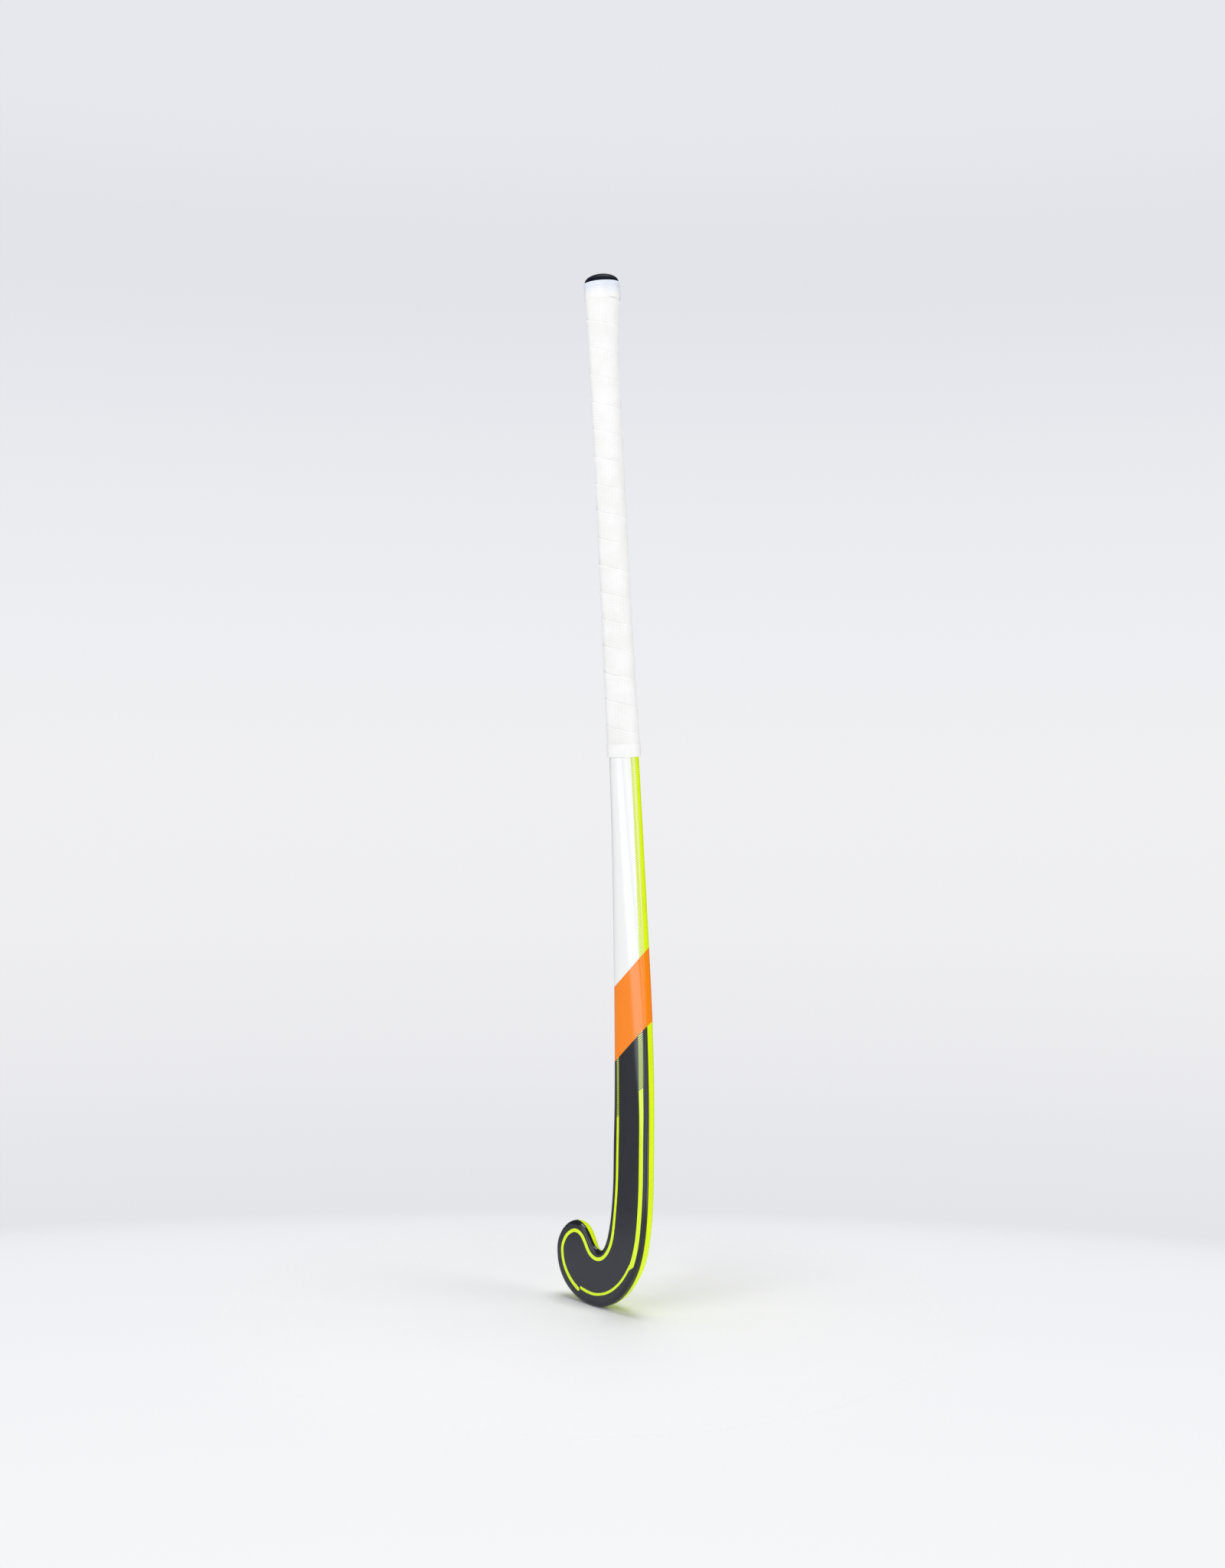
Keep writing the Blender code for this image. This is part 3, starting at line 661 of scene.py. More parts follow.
def stripe_values(rings):
    """Signed distances in millimetres to the edges of the three printed stripes."""
    points = np.array([(p.x, p.z) for ring in rings for p in ring]) / MM
    heel = distance_to_stripe(points, HEEL_STRIPE)
    down = np.array((math.sin(HEEL_STRIPE_FOOT_SLOPE), -math.cos(HEEL_STRIPE_FOOT_SLOPE)))
    below_foot = (points - np.array(HEEL_STRIPE_FOOT)) @ down
    return {
        "inner_stripe": distance_to_stripe(points, INNER_STRIPE),
        "sole_stripe": distance_to_stripe(points, SOLE_STRIPE),
        "heel_stripe": np.maximum(heel, below_foot),
    }


# Sections lie closer together below the grip, where the shaft shows
FINE_BELOW = NECK_HEIGHT + 12 * MM
HANDLE_STEP = 9 * MM
SHAFT_STEP = 3 * MM
# How far across the parting the points of a solid section's closing face are drawn
CLOSING_SHARE = 0.98


def shell_rings(outer_paths, inner_paths, solid_from):
    """Rings of an outer skin and the inner skin behind it, solid past the cavity's end."""
    rings = []
    for i, (outer, inner) in enumerate(zip(outer_paths, inner_paths)):
        if i >= solid_from:
            count = len(outer) - 1
            inner = [outer[0].lerp(outer[-1], j / count) for j in range(len(outer))]
            between = [inner[0].lerp(point, CLOSING_SHARE) for point in inner[1:-1]]
            inner = [inner[0], *between, inner[-1]]
        rings.append(outer + list(reversed(inner)))
    return rings


def stick_sections():
    """All sections, how high along the stick each counts, and the first past the cavity."""
    heights = steps_between(RIM_HEIGHT, FINE_BELOW, HANDLE_STEP)
    heights += steps_between(FINE_BELOW, HOOK_START, SHAFT_STEP)[1:]
    hook = hook_sections()
    sections = [shaft_section(h) for h in heights] + hook
    solid = [i for i in range(1, TOE_STEPS + 1) if toe_share(i) >= CAVITY_TOE_END]
    along = heights + [HOOK_START] * len(hook)
    return sections, along, len(sections) - len(solid)


def path_length(path):
    lengths = [0.0]
    for a, b in zip(path, path[1:]):
        lengths.append(lengths[-1] + (b - a).length)
    return lengths


def girth_values(paths, rings, heights):
    """Distance from the parting on the outer and inner side, and height along the stick."""
    values = {"from_outer": [], "from_inner": [], "along": []}
    for path, ring, height in zip(paths, rings, heights):
        lengths = path_length(path)
        spare = [lengths[-1] / 2] * (len(ring) - len(lengths))
        values["from_outer"] += [length / MM for length in lengths + spare]
        values["from_inner"] += [(lengths[-1] - length) / MM for length in lengths + spare]
        values["along"] += [height / MM] * len(ring)
    return values


def front_shell(material):
    sections, heights, solid_from = stick_sections()
    outer = [s.front_path() for s in sections]
    inner = [s.front_path(-WALL) for s in sections]
    rings = shell_rings(outer, inner, solid_from)
    values = girth_values(outer, rings, heights)
    values.update(stripe_values(rings))
    shell = skin("front_shell", rings, values=values)
    dress(shell, material, "front_laminate", "front_laminate")


def back_shell(material):
    sections, heights, solid_from = stick_sections()
    outer = [s.rear_path() for s in sections]
    inner = [s.rear_path(-WALL) for s in sections]
    rings = shell_rings(outer, inner, solid_from)
    values = girth_values([path[::-1] for path in outer], rings, heights)
    values["from_outer"], values["from_inner"] = values["from_inner"], values["from_outer"]
    shell = skin("back_shell", rings, values=values)
    dress(shell, material, "back_laminate", "back_laminate")


# Colours of the lacquer and its prints
ANTHRACITE = srgb(18, 20, 27)
ANTHRACITE_DEEP = srgb(12, 14, 20)
FLECK_GREY = srgb(34, 36, 42)
COOL_SHEEN = (0.84, 0.89, 1.0, 1.0)
YELLOW = srgb(226, 252, 0)
YELLOW_DEEP = srgb(220, 247, 0)
STRIPE_YELLOW = srgb(220, 246, 10)
STROKE_YELLOW = srgb(216, 242, 50)
STROKE_PALE = srgb(230, 246, 150)
HEEL_GAP = srgb(34, 40, 6)
INNER_GAP = srgb(14, 17, 6)
ORANGE = srgb(255, 137, 0)
WHITE = srgb(246, 247, 247)
PALE_YELLOW = srgb(240, 252, 140)
HATCH_OLIVE = srgb(202, 220, 78)
OUTLINE_OLIVE = srgb(26, 34, 0)
# Dark olive along the parting, partly painted shade of the seam between the shells
PARTING_SHADE_OLIVE = srgb(54, 62, 4)

# Colours of the grip, the films and the cap
GRIP_WHITE = srgb(248, 248, 248)
GRIP_DULL = srgb(243, 243, 242)
# Grey inside the perforation holes: painted shade
HOLE_SHADE_GREY = srgb(188, 190, 188)
FILM_BLUE = srgb(229, 235, 245)
FILM_CLOUD = srgb(200, 206, 216)
CAP_BLACK = srgb(8, 10, 22)
CAP_BLACK_WORN = srgb(16, 20, 34)

# Colours inside
FILLED_FOAM = srgb(206, 184, 140)
FILLED_FOAM_CELL = srgb(150, 126, 86)
LIGHT_FOAM = srgb(238, 232, 212)
LIGHT_FOAM_CELL = srgb(200, 192, 166)
PLUG_FOAM = srgb(224, 212, 182)
PLUG_FOAM_CELL = srgb(176, 160, 122)
FIBRE_BLACK = srgb(24, 24, 26)
FIBRE_GREY = srgb(62, 62, 64)

# The part of a noise's values that is stretched over a whole range
SPREAD = (0.3, 0.7)
NARROW_SPREAD = (0.35, 0.65)


def axes_in_mm(graph, place):
    """X, Y and Z in the stick's own axes, in millimetres."""
    parts = graph.node("ShaderNodeSeparateXYZ")
    graph.fill(parts, place)
    return [
        graph.math("MULTIPLY_ADD", parts.outputs[i], 1 / MM, -FRAME_SHIFT[i] / MM)
        for i in range(3)]


# Orange block, in millimetres: how its slanted foot and top climb across and toward the back
BLOCK_FOOT = 244.3
BLOCK_TOP = 313.0
BLOCK_SLOPE = 0.87
BLOCK_FOOT_BACK = 0.6
BLOCK_TOP_BACK = 0.78
BLOCK_SOFT = 0.15


def block_masks(graph, axes):
    """1 above the orange block's slanted foot, and 1 above its slanted top."""
    x, y, z = axes
    level = graph.math("MULTIPLY_ADD", x, -BLOCK_SLOPE, z)
    foot = graph.math("MULTIPLY_ADD", y, -BLOCK_FOOT_BACK, level)
    top = graph.math("MULTIPLY_ADD", y, -BLOCK_TOP_BACK, level)
    above_foot = graph.above(foot, BLOCK_FOOT, BLOCK_SOFT)
    above_top = graph.above(top, BLOCK_TOP, BLOCK_SOFT)
    return above_foot, above_top


# Hatching on the stripes and along the white shaft's parting, in millimetres
HATCH_PERIOD = 2.07
HATCH_SOFT = 0.35
HATCH_RISE = 0.61
HATCH_RISE_BACK = 0.68
HATCH_MARGIN = 0.6
INNER_HATCH_FOOT = 187.6
HEEL_HATCH_FOOT = 197.0
HATCH_FOOT_SOFT = 0.2
STROKE_FADE_START = 200.0
STROKE_FADE_END = 262.0
EDGE_HATCH_RISE = 0.63
EDGE_STRIP_FRONT = 4.2
EDGE_STRIP_BACK = 1.2

# Lines round the stripes and along the parting, in millimetres: the parting's dark line is partly
# a border line in the paint, partly painted seam shade
OUTLINE_WIDTH = 0.8
OUTLINE_SOFT = 0.25
PARTING_SHADE_WIDTH = 1.1
PARTING_SOFT = 0.35


def strokes(graph, climb):
    """Even slanted strokes, 1 on a stroke and 0 between, from a height in millimetres."""
    turn = graph.times(climb, 2 * math.pi / HATCH_PERIOD)
    return graph.above(graph.math("SINE", turn), 0.0, HATCH_SOFT)


def edge_strip(graph, rise, width):
    """Share and colour of the stroked strip that runs up the parting on the white shaft."""
    outer = graph.value("from_outer")
    climb = graph.math("MULTIPLY_ADD", outer, rise, graph.value("along"))
    colour = graph.mix(strokes(graph, climb), PALE_YELLOW, HATCH_OLIVE)
    return graph.below(outer, width), colour


def striped(graph, axes, dark):
    """The dark lacquer with the outlined stripes over it, hatched above their hatch's foot."""
    x, y, z = axes
    inner = graph.value("inner_stripe")
    sole = graph.value("sole_stripe")
    heel = graph.value("heel_stripe")
    edge = graph.math("MINIMUM", graph.math("MINIMUM", inner, sole), heel)
    slant = graph.math("MULTIPLY_ADD", x, -HATCH_RISE, z)
    slant = graph.math("MULTIPLY_ADD", y, -HATCH_RISE_BACK, slant)
    stroke = strokes(graph, slant)
    on_inner = graph.below(inner, HATCH_MARGIN)
    above_foot = graph.above(slant, INNER_HATCH_FOOT, HATCH_FOOT_SOFT)
    inner_hatched = graph.times(on_inner, above_foot)
    on_heel = graph.below(heel, HATCH_MARGIN)
    above_foot = graph.above(slant, HEEL_HATCH_FOOT, HATCH_FOOT_SOFT)
    heel_hatched = graph.times(on_heel, above_foot)
    hatched = graph.math("MAXIMUM", inner_hatched, heel_hatched)
    rise = graph.ramp(z, STROKE_FADE_START, STROKE_FADE_END, smooth=False)
    stroke_colour = graph.mix(rise, STROKE_YELLOW, STROKE_PALE)
    gap_colour = graph.mix(on_inner, HEEL_GAP, INNER_GAP)
    hatch_colour = graph.mix(stroke, gap_colour, stroke_colour)
    stripe = graph.mix(hatched, STRIPE_YELLOW, hatch_colour)
    outlined = graph.mix(graph.below(edge, OUTLINE_WIDTH, OUTLINE_SOFT), dark, OUTLINE_OLIVE)
    return graph.mix(graph.below(edge, 0.0), outlined, stripe)


# Shares and ranges of the lacquer's fine marks
FLECK_SHARE = 0.3
FRONT_ROUGHNESS = (0.17, 0.22)
BACK_ROUGHNESS = (0.26, 0.36)
PEEL_SCALE = 420
PEEL_DEPTH = 0.1 * MM


def front_paint():
    material, shader, graph, place = new_material(
        "front_paint", IOR=1.56, Specular_Tint=COOL_SHEEN)
    axes = axes_in_mm(graph, place)
    mottle = graph.noise(place, scale=90, detail=3)
    grain = graph.noise(place, scale=2600, detail=2)
    dark = graph.mix(graph.ramp(mottle, *NARROW_SPREAD), ANTHRACITE_DEEP, ANTHRACITE)
    dark = graph.mix(graph.times(grain, FLECK_SHARE), dark, FLECK_GREY)
    printed = striped(graph, axes, dark)
    above_foot, above_top = block_masks(graph, axes)
    in_strip, strip = edge_strip(graph, EDGE_HATCH_RISE, EDGE_STRIP_FRONT)
    colour = graph.mix(above_foot, printed, ORANGE)
    colour = graph.mix(above_top, colour, graph.mix(in_strip, WHITE, strip))
    roughness = graph.ramp(grain, *SPREAD, *FRONT_ROUGHNESS)
    peel = graph.noise(place, scale=PEEL_SCALE, detail=2)
    peeled = graph.bump(peel, strength=0.05, distance=PEEL_DEPTH)
    graph.join(shader, Base_Color=colour, Roughness=roughness, Normal=peeled)
    return material


def back_paint():
    material, shader, graph, place = new_material("back_paint", IOR=1.24)
    axes = axes_in_mm(graph, place)
    mottle = graph.noise(place, scale=60, detail=3)
    yellow = graph.mix(graph.ramp(mottle, *SPREAD), YELLOW, YELLOW_DEEP)
    outer = graph.value("from_outer")
    inner = graph.value("from_inner")
    parting = graph.math("MINIMUM", outer, inner)
    # Dark olive line along the parting: partly a border line in the paint, partly painted shade of
    # the seam between the two shells
    on_parting_shade = graph.below(parting, PARTING_SHADE_WIDTH, PARTING_SOFT)
    line_and_shade = graph.mix(on_parting_shade, yellow, PARTING_SHADE_OLIVE)
    above_foot, above_top = block_masks(graph, axes)
    in_strip, strip = edge_strip(graph, -EDGE_HATCH_RISE, EDGE_STRIP_BACK)
    colour = graph.mix(above_foot, line_and_shade, ORANGE)
    colour = graph.mix(above_top, colour, graph.mix(in_strip, yellow, strip))
    peel = graph.noise(place, scale=PEEL_SCALE, detail=2)
    roughness = graph.ramp(peel, *SPREAD, *BACK_ROUGHNESS)
    peeled = graph.bump(peel, strength=0.04, distance=PEEL_DEPTH)
    graph.join(shader, Base_Color=colour, Roughness=roughness, Normal=peeled)
    return material


def outer_edge(place):
    """Point on the outer edge of the hook: 0 to 1 on the heel, to 2 below it, to 3 on the sole."""
    curves = (HEEL_CURVE, RUN_CURVE, SOLE_CURVE)
    part = min(int(place), len(curves) - 1)
    return bezier(curves[part], place - part)


GUARD_STEPS = 120
GUARD_FACE_STEPS = 12
GUARD_INSET = 0.3 * MM
GUARD_PROUD = 0.04 * MM
GUARD_BEVEL = 0.12 * MM
GUARD_BEVEL_FOOT = 0.1 * MM
# Keeps the parting's hatched strip off the guard, in millimetres
GUARD_FROM_PARTING = 20.0


def face_guard(material):
    """Thin wear strip let into the face along the outer edge, from heel to toe."""
    near = FACE_EDGE_RADIUS + GUARD_INSET
    far = near + GUARD_WIDTH
    level = GUARD_WIDTH - 2 * GUARD_BEVEL
    profile = [(near, GUARD_THICKNESS), (near, GUARD_BEVEL_FOOT)]
    profile += [
        (near + GUARD_BEVEL + level * i / GUARD_FACE_STEPS, -GUARD_PROUD)
        for i in range(GUARD_FACE_STEPS + 1)]
    profile += [(far, GUARD_BEVEL_FOOT), (far, GUARD_THICKNESS)]
    rings = []
    for i in range(GUARD_STEPS + 1):
        place = GUARD_START + (GUARD_END - GUARD_START) * i / GUARD_STEPS
        point = outer_edge(place)
        ahead = heading(outer_edge, place)
        inward = Vector((ahead.z, 0.0, -ahead.x))
        rings.append([point + inward * a + Vector((0, b, 0)) for a, b in profile])
    values = stripe_values(rings)
    values["from_outer"] = [GUARD_FROM_PARTING] * (len(rings) * len(profile))
    guard = skin("face_guard", rings, values=values)
    dress(guard, material, "heel_guard", "heel_guard")


# Grip strip: its girth in millimetres a turn, and the least width at its slanted ends
GRIP_TURN_STEPS = 72
GRIP_GIRTH = 85.0
GRIP_END_FIT = 0.3 * MM
GRIP_LEAST_WIDTH = 2.5 * MM
# Below this width the strip's edges are squeezed together
GRIP_EDGES_WIDTH = 9 * MM
# Share of the grip's thickness left where its foot is pressed flat
GRIP_PRESS = [(NECK_HEIGHT, 0.74), (NECK_HEIGHT + 18 * MM, 1.0)]
# Strip's profile, in millimetres: how far in from an edge, and off the bare handle
GRIP_TOP_EDGE = [(0.0, 1.62), (0.25, 1.84), (0.9, 1.95), (2.2, 1.93), (4.0, 1.84)]
GRIP_FOOT_EDGE = [(4.4, 1.52), (2.9, 1.36), (2.3, 1.28), (1.0, 1.1), (0.2, 0.8), (0.0, 0.6)]
GRIP_UNDER_FOOT = [(0.2, 0.4), (2.0, 0.35)]
GRIP_UNDER_TOP = [(3.6, 0.5), (2.6, 1.4), (0.3, 1.44)]
# The same between the edges, as shares of the strip's width
GRIP_MIDDLE = [(0.66, 1.76), (0.5, 1.7), (0.34, 1.62)]
GRIP_UNDER_MIDDLE = [(0.5, 0.55)]


def profile_points(start, step, table):
    """Heights and offsets: each inset counted in steps from a height, each offset in mm."""
    return [(start + step * inset, offset * MM) for inset, offset in table]


def grip_profile(low, high):
    """Strip's profile: thin where the next turn laps over it, proud at its upper edge."""
    width = high - low
    squeezed = MM * min(width / GRIP_EDGES_WIDTH, 1.0)
    return [
        *profile_points(high, -squeezed, GRIP_TOP_EDGE),
        *profile_points(low, width, GRIP_MIDDLE),
        *profile_points(low, squeezed, GRIP_FOOT_EDGE),
        *profile_points(low, squeezed, GRIP_UNDER_FOOT),
        *profile_points(low, width, GRIP_UNDER_MIDDLE),
        *profile_points(high, -squeezed, GRIP_UNDER_TOP)]


def cushion_grip(material):
    """Cushion strip wound up the handle, each turn lapped over the foot of the next."""
    foot = NECK_HEIGHT + GRIP_END_FIT
    top = RIM_HEIGHT - GRIP_END_FIT
    turns = (top - foot + GRIP_PITCH) / GRIP_PITCH
    rings = []
    along = []
    across = []
    for i in range(int(turns * GRIP_TURN_STEPS) + 1):
        share = i / GRIP_TURN_STEPS
        upper = foot + GRIP_PITCH * share
        low = max(upper - GRIP_PITCH - GRIP_LAP, foot)
        high = min(upper, top)
        if high - low < GRIP_LEAST_WIDTH:
            continue
        turn = GRIP_START_TURN - 2 * math.pi * share
        profile = [(h, offset * piecewise(GRIP_PRESS, h)) for h, offset in grip_profile(low, high)]
        rings.append([shaft_section(h).around_point(turn, offset) for h, offset in profile])
        along += [share * GRIP_GIRTH] * len(profile)
        across += [(h - upper) / MM for h, offset in profile]
    values = {"strip_along": along, "strip_across": across}
    grip = skin("cushion_grip", rings, values=values, crease=60)
    dress(grip, material, "grip_wrap", "grip_wrap")


# Perforation: half its pitch along and across the strip and a hole's radius, in millimetres
HOLE_HALF_PITCH_ALONG = 1.5
HOLE_HALF_PITCH_ACROSS = 1.3
HOLE_RADIUS = 0.32
HOLE_SOFT = 0.15
# How deeply the holes are darkened with painted shade, from patch to patch
HOLE_PATCHES = (0.35, 0.6)
HOLE_SHADE_DEPTH = (0.1, 0.42)
LEATHER_DEPTH = 0.3 * MM


def grip_leather():
    material, shader, graph, place = new_material(
        "grip_leather", Roughness=0.6, IOR=1.4, Sheen_Weight=0.15, Sheen_Roughness=0.5)
    along = graph.value("strip_along")
    across = graph.value("strip_across")
    grain = graph.noise(place, scale=900, detail=4)
    cloud = graph.noise(place, scale=60, detail=2)
    hole_along = graph.math("PINGPONG", along, HOLE_HALF_PITCH_ALONG)
    hole_across = graph.math("PINGPONG", across, HOLE_HALF_PITCH_ACROSS)
    squares = graph.add(
        graph.times(hole_along, hole_along), graph.times(hole_across, hole_across))
    hole = graph.below(graph.math("SQRT", squares), HOLE_RADIUS, HOLE_SOFT)
    patches = graph.noise(place, scale=230, detail=2)
    patchy_hole_shade = graph.ramp(patches, *HOLE_PATCHES, *HOLE_SHADE_DEPTH)
    colour = graph.mix(graph.ramp(cloud, *SPREAD), GRIP_DULL, GRIP_WHITE)
    # The holes are greyed with painted shade inside the perforations
    colour = graph.mix(graph.times(hole, patchy_hole_shade), colour, HOLE_SHADE_GREY)
    grained = graph.bump(grain, strength=0.15, distance=LEATHER_DEPTH)
    sunk = graph.times(hole, -1.0)
    holed = graph.bump(sunk, strength=0.3, distance=LEATHER_DEPTH, Normal=grained)
    graph.join(shader, Base_Color=colour, Normal=holed)
    return material


AROUND_STEPS = 96


def band(name, profile, material, slot, node):
    """Ring round the handle: the profile lists heights and offsets from the bare handle."""
    rings = []
    for i in range(AROUND_STEPS):
        turn = 2 * math.pi * i / AROUND_STEPS
        rings.append([shaft_section(h).around_point(turn, offset) for h, offset in profile])
    ring = skin(name, rings, cyclic=True, crease=50)
    dress(ring, material, slot, node)


# Finishing tape's profile, written as the grip's is
TAPE_FOOT_EDGE = [(0.0, 1.5), (0.3, 1.72), (1.2, 1.88), (4.0, 1.95)]
TAPE_TOP_EDGE = [(4.0, 1.98), (1.0, 1.98), (0.0, 1.94), (0.0, 1.8)]
TAPE_OVER_GRIP = 1.55 * MM


def finish_tape(material):
    """Tape over the foot of the grip, with a lip onto the bare shaft below it."""
    foot = NECK_HEIGHT - FINISH_TAPE_LIP
    top = foot + FINISH_TAPE_WIDTH
    profile = [(foot, WRAP_FIT)]
    profile += profile_points(foot, MM, TAPE_FOOT_EDGE)
    profile += profile_points(top, -MM, TAPE_TOP_EDGE)
    profile += [(NECK_HEIGHT, TAPE_OVER_GRIP), (NECK_HEIGHT, WRAP_FIT)]
    band("finish_tape", profile, material, "finishing_tape", "finishing_tape")


# Top band: where its film folds, its rounded edges and how far off the bare handle it lies
END_BAND_FOLD = 3.7 * MM
FILM_RIM = 1.5 * MM
FILM_RIM_EDGE = [(0.0, 1.98), (0.0, 2.18), (0.6, 2.3)]
FILM_FOLD_EDGE = [(0.15, 2.14)]
FILM_DOUBLE = 2.34 * MM
FILM_SINGLE = 2.12 * MM
FILM_BED = 1.98 * MM
FILM_STEP = 1.2 * MM
FILM_DOUBLE_STEP = 0.8 * MM
FILM_BED_STEP = 1.5 * MM


def end_band(material):
    """Thin film over the top end of the grip, double above its fold."""
    top = RIM_HEIGHT
    foot = top - TOP_BAND_WIDTH
    fold = top - END_BAND_FOLD
    double = steps_between(top - FILM_RIM, fold, FILM_DOUBLE_STEP)
    single = steps_between(fold - FILM_STEP, foot, FILM_STEP)
    bed = [foot] + steps_between(foot + 2 * MM, top - FILM_RIM, FILM_BED_STEP)
    profile = profile_points(top, -MM, FILM_RIM_EDGE)
    profile += [(h, FILM_DOUBLE) for h in double]
    profile += profile_points(fold, -MM, FILM_FOLD_EDGE)
    profile += [(h, FILM_SINGLE) for h in single]
    profile += [(h, FILM_BED) for h in bed]
    band("end_band", profile, material, "top_band", "top_band")


# Cap: its seat, its flange's rounding, and the share of its radius down its spigot
CAP_SEAT = 0.1 * MM
FLANGE_FOOT_SHARE = 0.97
FLANGE_ROUNDING = 0.25 * MM
SPIGOT_PROFILE = [
    (SPIGOT_LENGTH, 0.8), (SPIGOT_LENGTH - 0.8 * MM, 0.95), (SPIGOT_LENGTH - 2 * MM, 1.0),
    (-CAP_SEAT, 1.0),
]
DOME_STEPS = 24


def end_cap(material):
    """Domed cap with a rounded flange and a spigot down into the handle."""
    foot = RIM_HEIGHT + CAP_SEAT
    rim = shaft_section(RIM_HEIGHT)
    lift = rim.across.cross(rim.back)
    centre = rim.middle()
    turns = [2 * math.pi * i / AROUND_STEPS for i in range(AROUND_STEPS)]
    flange = [rim.around_point(turn, CAP_OVERHANG) for turn in turns]
    rings = []
    for drop, share in SPIGOT_PROFILE:
        ring = []
        for turn in turns:
            arm = rim.across * math.cos(turn) + rim.back * math.sin(turn)
            ring.append(centre + arm * SPIGOT_RADIUS * share - lift * drop)
        rings.append(ring)
    rise = foot - RIM_HEIGHT
    rings.append([centre + (p - centre) * FLANGE_FOOT_SHARE + lift * rise for p in flange])
    rings.append([p + lift * (rise + FLANGE_ROUNDING) for p in flange])
    dome_height = STICK_LENGTH - foot - CAP_SIDE
    for i in range(DOME_STEPS):
        angle = i / DOME_STEPS * math.pi / 2
        up = rise + CAP_SIDE + dome_height * math.sin(angle)
        narrow = math.cos(angle)
        rings.append([centre + (p - centre) * narrow + lift * up for p in flange])
    cap = skin("end_cap", rings)
    dress(cap, material, "butt_cap", "butt_cap")


CLOUD_SHARE = 0.05
CAP_ROUGHNESS = (0.5, 0.62)
CELL_SPREAD = (0.1, 0.7)


def tape_film(name, colour, foot_colour, roughness):
    """Thin tape or film, whose colour goes over into another towards its foot."""
    material, shader, graph, place = new_material(name, Roughness=roughness, IOR=1.42)
    height = axes_in_mm(graph, place)[2]
    top = RIM_HEIGHT / MM
    share = graph.ramp(height, top - TOP_BAND_WIDTH / MM, top - END_BAND_FOLD / MM)
    cloud = graph.noise(place, scale=140, detail=3)
    film = graph.mix(share, foot_colour, colour)
    clouded = graph.ramp(cloud, *NARROW_SPREAD, 0.0, CLOUD_SHARE)
    film = graph.mix(clouded, film, FILM_CLOUD)
    rippled = graph.bump(cloud, strength=0.1, distance=0.3 * MM)
    graph.join(shader, Base_Color=film, Normal=rippled)
    return material


def cap_rubber():
    material, shader, graph, place = new_material("cap_rubber", IOR=1.14)
    grain = graph.noise(place, scale=2200, detail=3)
    colour = graph.mix(grain, CAP_BLACK, CAP_BLACK_WORN)
    roughness = graph.ramp(grain, *SPREAD, *CAP_ROUGHNESS)
    grained = graph.bump(grain, strength=0.2, distance=0.2 * MM)
    graph.join(shader, Base_Color=colour, Roughness=roughness, Normal=grained)
    return material


def foam(name, light, dark, scale):
    """Closed-cell foam for the pieces inside."""
    material, shader, graph, place = new_material(name, Roughness=0.85)
    cells = graph.node("ShaderNodeTexVoronoi")
    graph.join(cells, Vector=place, Scale=scale)
    depth = cells.outputs["Distance"]
    colour = graph.mix(graph.ramp(depth, *CELL_SPREAD), dark, light)
    pitted = graph.bump(depth, strength=0.5, distance=0.4 * MM)
    graph.join(shader, Base_Color=colour, Normal=pitted)
    return material


def rib_laminate():
    """Raw woven laminate of the rib."""
    material, shader, graph, place = new_material("rib_laminate", Roughness=0.5)
    weave = graph.node("ShaderNodeTexChecker")
    graph.join(weave, Vector=place, Scale=700)
    fibre = graph.noise(place, scale=3000, detail=2)
    tone = graph.add(graph.times(weave.outputs["Fac"], 0.5), graph.times(fibre, 0.5))
    colour = graph.mix(tone, FIBRE_BLACK, FIBRE_GREY)
    woven = graph.bump(tone, strength=0.3, distance=0.2 * MM)
    graph.join(shader, Base_Color=colour, Normal=woven)
    return material


def repaint(node, material):
    """A CAD node that stays gets a better material."""
    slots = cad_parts[node].data.materials
    slots.clear()
    slots.append(material)


# Stage
FLOOR_RADIUS = 0.62
FLOOR_FADE_START = 0.16
FLOOR_FADE_END = 0.4
FLOOR_RINGS = 40
FLOOR_COLOUR = srgb(244, 245, 247)
FLOOR_FIBRE = srgb(248, 248, 250)
# Backdrop's colours by how far up the view looks, -1 straight down to 1 straight up
WALL_STOPS = [
    (-0.40, (246, 247, 249)), (-0.30, (243, 244, 247)), (-0.245, (239, 240, 243)),
    (-0.2335, (236, 237, 241)), (-0.2275, (228, 229, 233)), (-0.19, (230, 231, 235)),
    (-0.155, (234, 234, 238)), (-0.073, (239, 239, 241)), (0.01, (240, 240, 242)),
    (0.093, (237, 238, 242)), (0.175, (233, 234, 238)), (0.214, (230, 231, 236)),
    (0.253, (227, 228, 233)), (0.29, (226, 228, 233)), (0.34, (230, 232, 237)),
]
# Light from all round: its strength below and above the horizon, and the floor's end
AMBIENT_BELOW = 0.5
AMBIENT_ABOVE = 0.16
AMBIENT_FLOOR_END = -0.28


def floor_mesh():
    """Flat disc of rings round its middle."""
    verts = [(0, 0, 0)]
    for i in range(1, FLOOR_RINGS + 1):
        radius = FLOOR_RADIUS * i / FLOOR_RINGS
        for j in range(AROUND_STEPS):
            turn = 2 * math.pi * j / AROUND_STEPS
            verts.append((radius * math.cos(turn), radius * math.sin(turn), 0))
    faces = [(0, 1 + j, 1 + (j + 1) % AROUND_STEPS) for j in range(AROUND_STEPS)]
    for i in range(FLOOR_RINGS - 1):
        inner = 1 + i * AROUND_STEPS
        outer = inner + AROUND_STEPS
        for j in range(AROUND_STEPS):
            k = (j + 1) % AROUND_STEPS
            faces.append((inner + j, outer + j, outer + k, inner + k))
    mesh = bpy.data.meshes.new("floor")
    mesh.from_pydata(verts, [], faces)
    return mesh


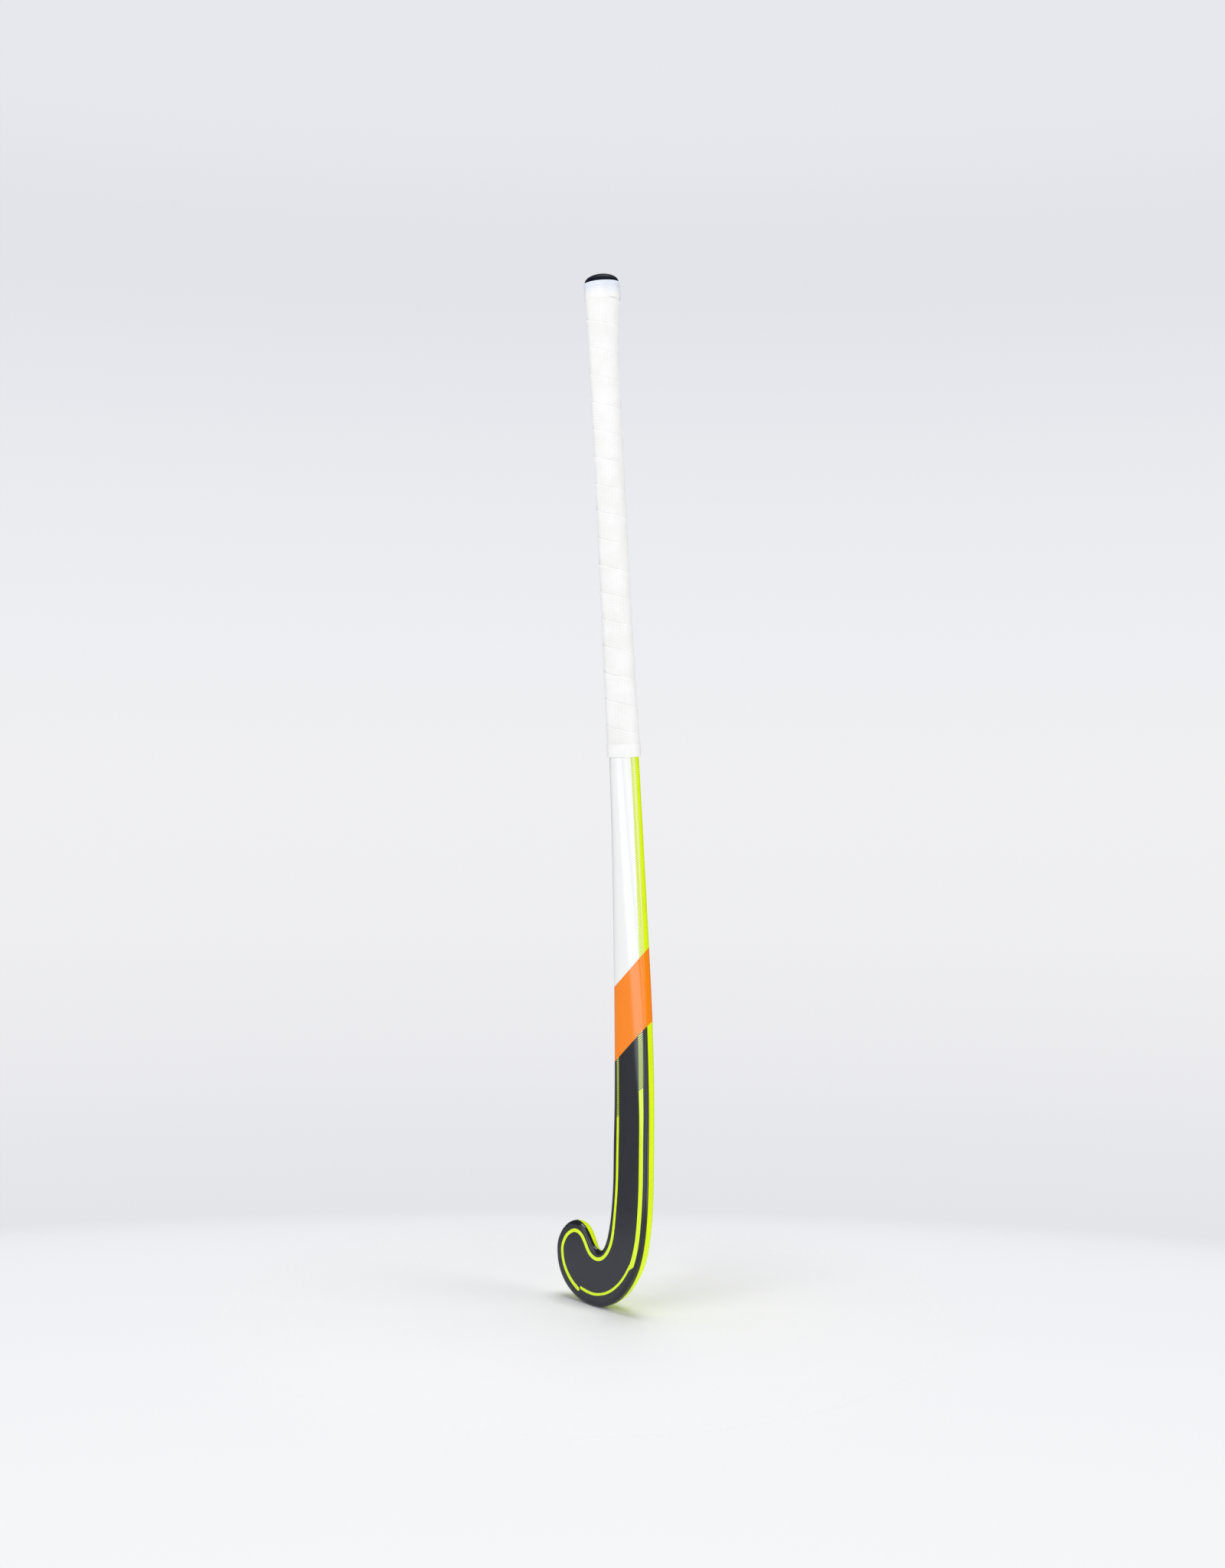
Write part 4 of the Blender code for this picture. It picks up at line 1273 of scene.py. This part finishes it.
def add_floor():
    """Pale floor round the head, which fades into the pale surroundings."""
    mesh = floor_mesh()
    floor = add_object("floor", mesh)
    material, shader, graph, place = new_material(
        "floor_paper", Roughness=0.9, Specular_IOR_Level=0.1)
    fibre = graph.noise(place, scale=500, detail=2)
    graph.join(shader, Base_Color=graph.mix(fibre, FLOOR_COLOUR, FLOOR_FIBRE))
    length = graph.node("ShaderNodeVectorMath", operation="LENGTH")
    graph.fill(length, place)
    fade = graph.ramp(length.outputs["Value"], FLOOR_FADE_START, FLOOR_FADE_END)
    clear = graph.node("ShaderNodeBsdfTransparent")
    blend = graph.node("ShaderNodeMixShader")
    graph.fill(blend, fade, shader.outputs[0], clear.outputs[0])
    graph.join(material.node_tree.nodes["Material Output"], Surface=blend.outputs[0])
    mesh.materials.append(material)


def add_world():
    """Pale backdrop for the camera, and a room with a bright floor for the light."""
    world = bpy.data.worlds.new("studio")
    bpy.context.scene.world = world
    world.use_nodes = True
    graph = Graph(world.node_tree)
    world.node_tree.nodes.clear()
    direction = graph.node("ShaderNodeTexCoord").outputs["Generated"]
    parts = graph.node("ShaderNodeSeparateXYZ")
    graph.fill(parts, direction)
    low, high = WALL_STOPS[0][0], WALL_STOPS[-1][0]
    ramp = graph.node("ShaderNodeValToRGB")
    elements = ramp.color_ramp.elements
    while len(elements) < len(WALL_STOPS):
        elements.new(0.5)
    for element, (level, colour) in zip(elements, WALL_STOPS):
        element.position = (level - low) / (high - low)
        element.color = srgb(*colour)
    graph.fill(ramp, graph.ramp(parts.outputs[2], low, high, smooth=False))
    backdrop = graph.node("ShaderNodeBackground")
    graph.join(backdrop, Color=ramp.outputs[0])
    even = graph.node("ShaderNodeBackground")
    strength = graph.ramp(
        parts.outputs[2], AMBIENT_FLOOR_END, 0.0, AMBIENT_BELOW, AMBIENT_ABOVE)
    graph.join(even, Color=(1, 1, 1, 1), Strength=strength)
    rays = graph.node("ShaderNodeLightPath")
    blend = graph.node("ShaderNodeMixShader")
    graph.fill(blend, rays.outputs["Is Camera Ray"], even.outputs[0], backdrop.outputs[0])
    output = graph.node("ShaderNodeOutputWorld")
    graph.join(output, Surface=blend.outputs[0])


LAMPS = [
    # name, place, aimed at, width, height, roll in degrees, watts
    ("lamp_left", (-0.56, -1.92, 0.95), (0, 0, 0.95), 1.4, 1.1, 0, 5.5),
    ("lamp_low", (-0.60, -1.907, -0.03), (0, 0, -0.03), 1.66, 0.75, 0, 9.5),
    ("lamp_right", (1.81, 0.85, 0.45), (0, 0, 0.45), 1.0, 2.0, 0, 22.0),
    ("lamp_front", (1.38, -1.45, -0.05), (0, 0, -0.05), 1.8, 1.1, 0, 9.5),
    ("lamp_over", (0.0, 0.1, 2.3), (0, 0, 0.3), 1.2, 1.2, 0, 29.5),
    ("lamp_crook", (0.40, -1.35, 1.36), (-0.05, 0, 0.06), 1.3, 0.12, -48, 9.0),
]


def add_lamps():
    for name, place, target, width, height, roll, watts in LAMPS:
        data = bpy.data.lights.new(name, "AREA")
        data.shape = "RECTANGLE"
        data.size = width
        data.size_y = height
        data.energy = watts
        lamp = add_object(name, data)
        look = Vector(target) - Vector(place)
        turn = look.to_track_quat("-Z", "Y").to_matrix().to_4x4()
        rolled = Matrix.Rotation(math.radians(roll), 4, "Z")
        lamp.matrix_world = Matrix.Translation(place) @ turn @ rolled


def add_pieces():
    paint = front_paint()
    front_shell(paint)
    back_shell(back_paint())
    face_guard(paint)
    cushion_grip(grip_leather())
    finish_tape(tape_film("finish_film", GRIP_WHITE, GRIP_WHITE, roughness=0.42))
    end_band(tape_film("end_film", FILM_BLUE, GRIP_WHITE, roughness=0.3))
    end_cap(cap_rubber())
    repaint("head_core", foam("filled_foam", FILLED_FOAM, FILLED_FOAM_CELL, scale=900))
    repaint("centre_rib", rib_laminate())
    light_foam = foam("light_foam", LIGHT_FOAM, LIGHT_FOAM_CELL, scale=500)
    repaint("toe_side_core", light_foam)
    repaint("heel_side_core", light_foam)
    repaint("handle_plug", foam("plug_foam", PLUG_FOAM, PLUG_FOAM_CELL, scale=700))


bpy.context.scene.view_settings.view_transform = "Standard"
add_camera()
add_world()
add_floor()
add_lamps()
add_pieces()
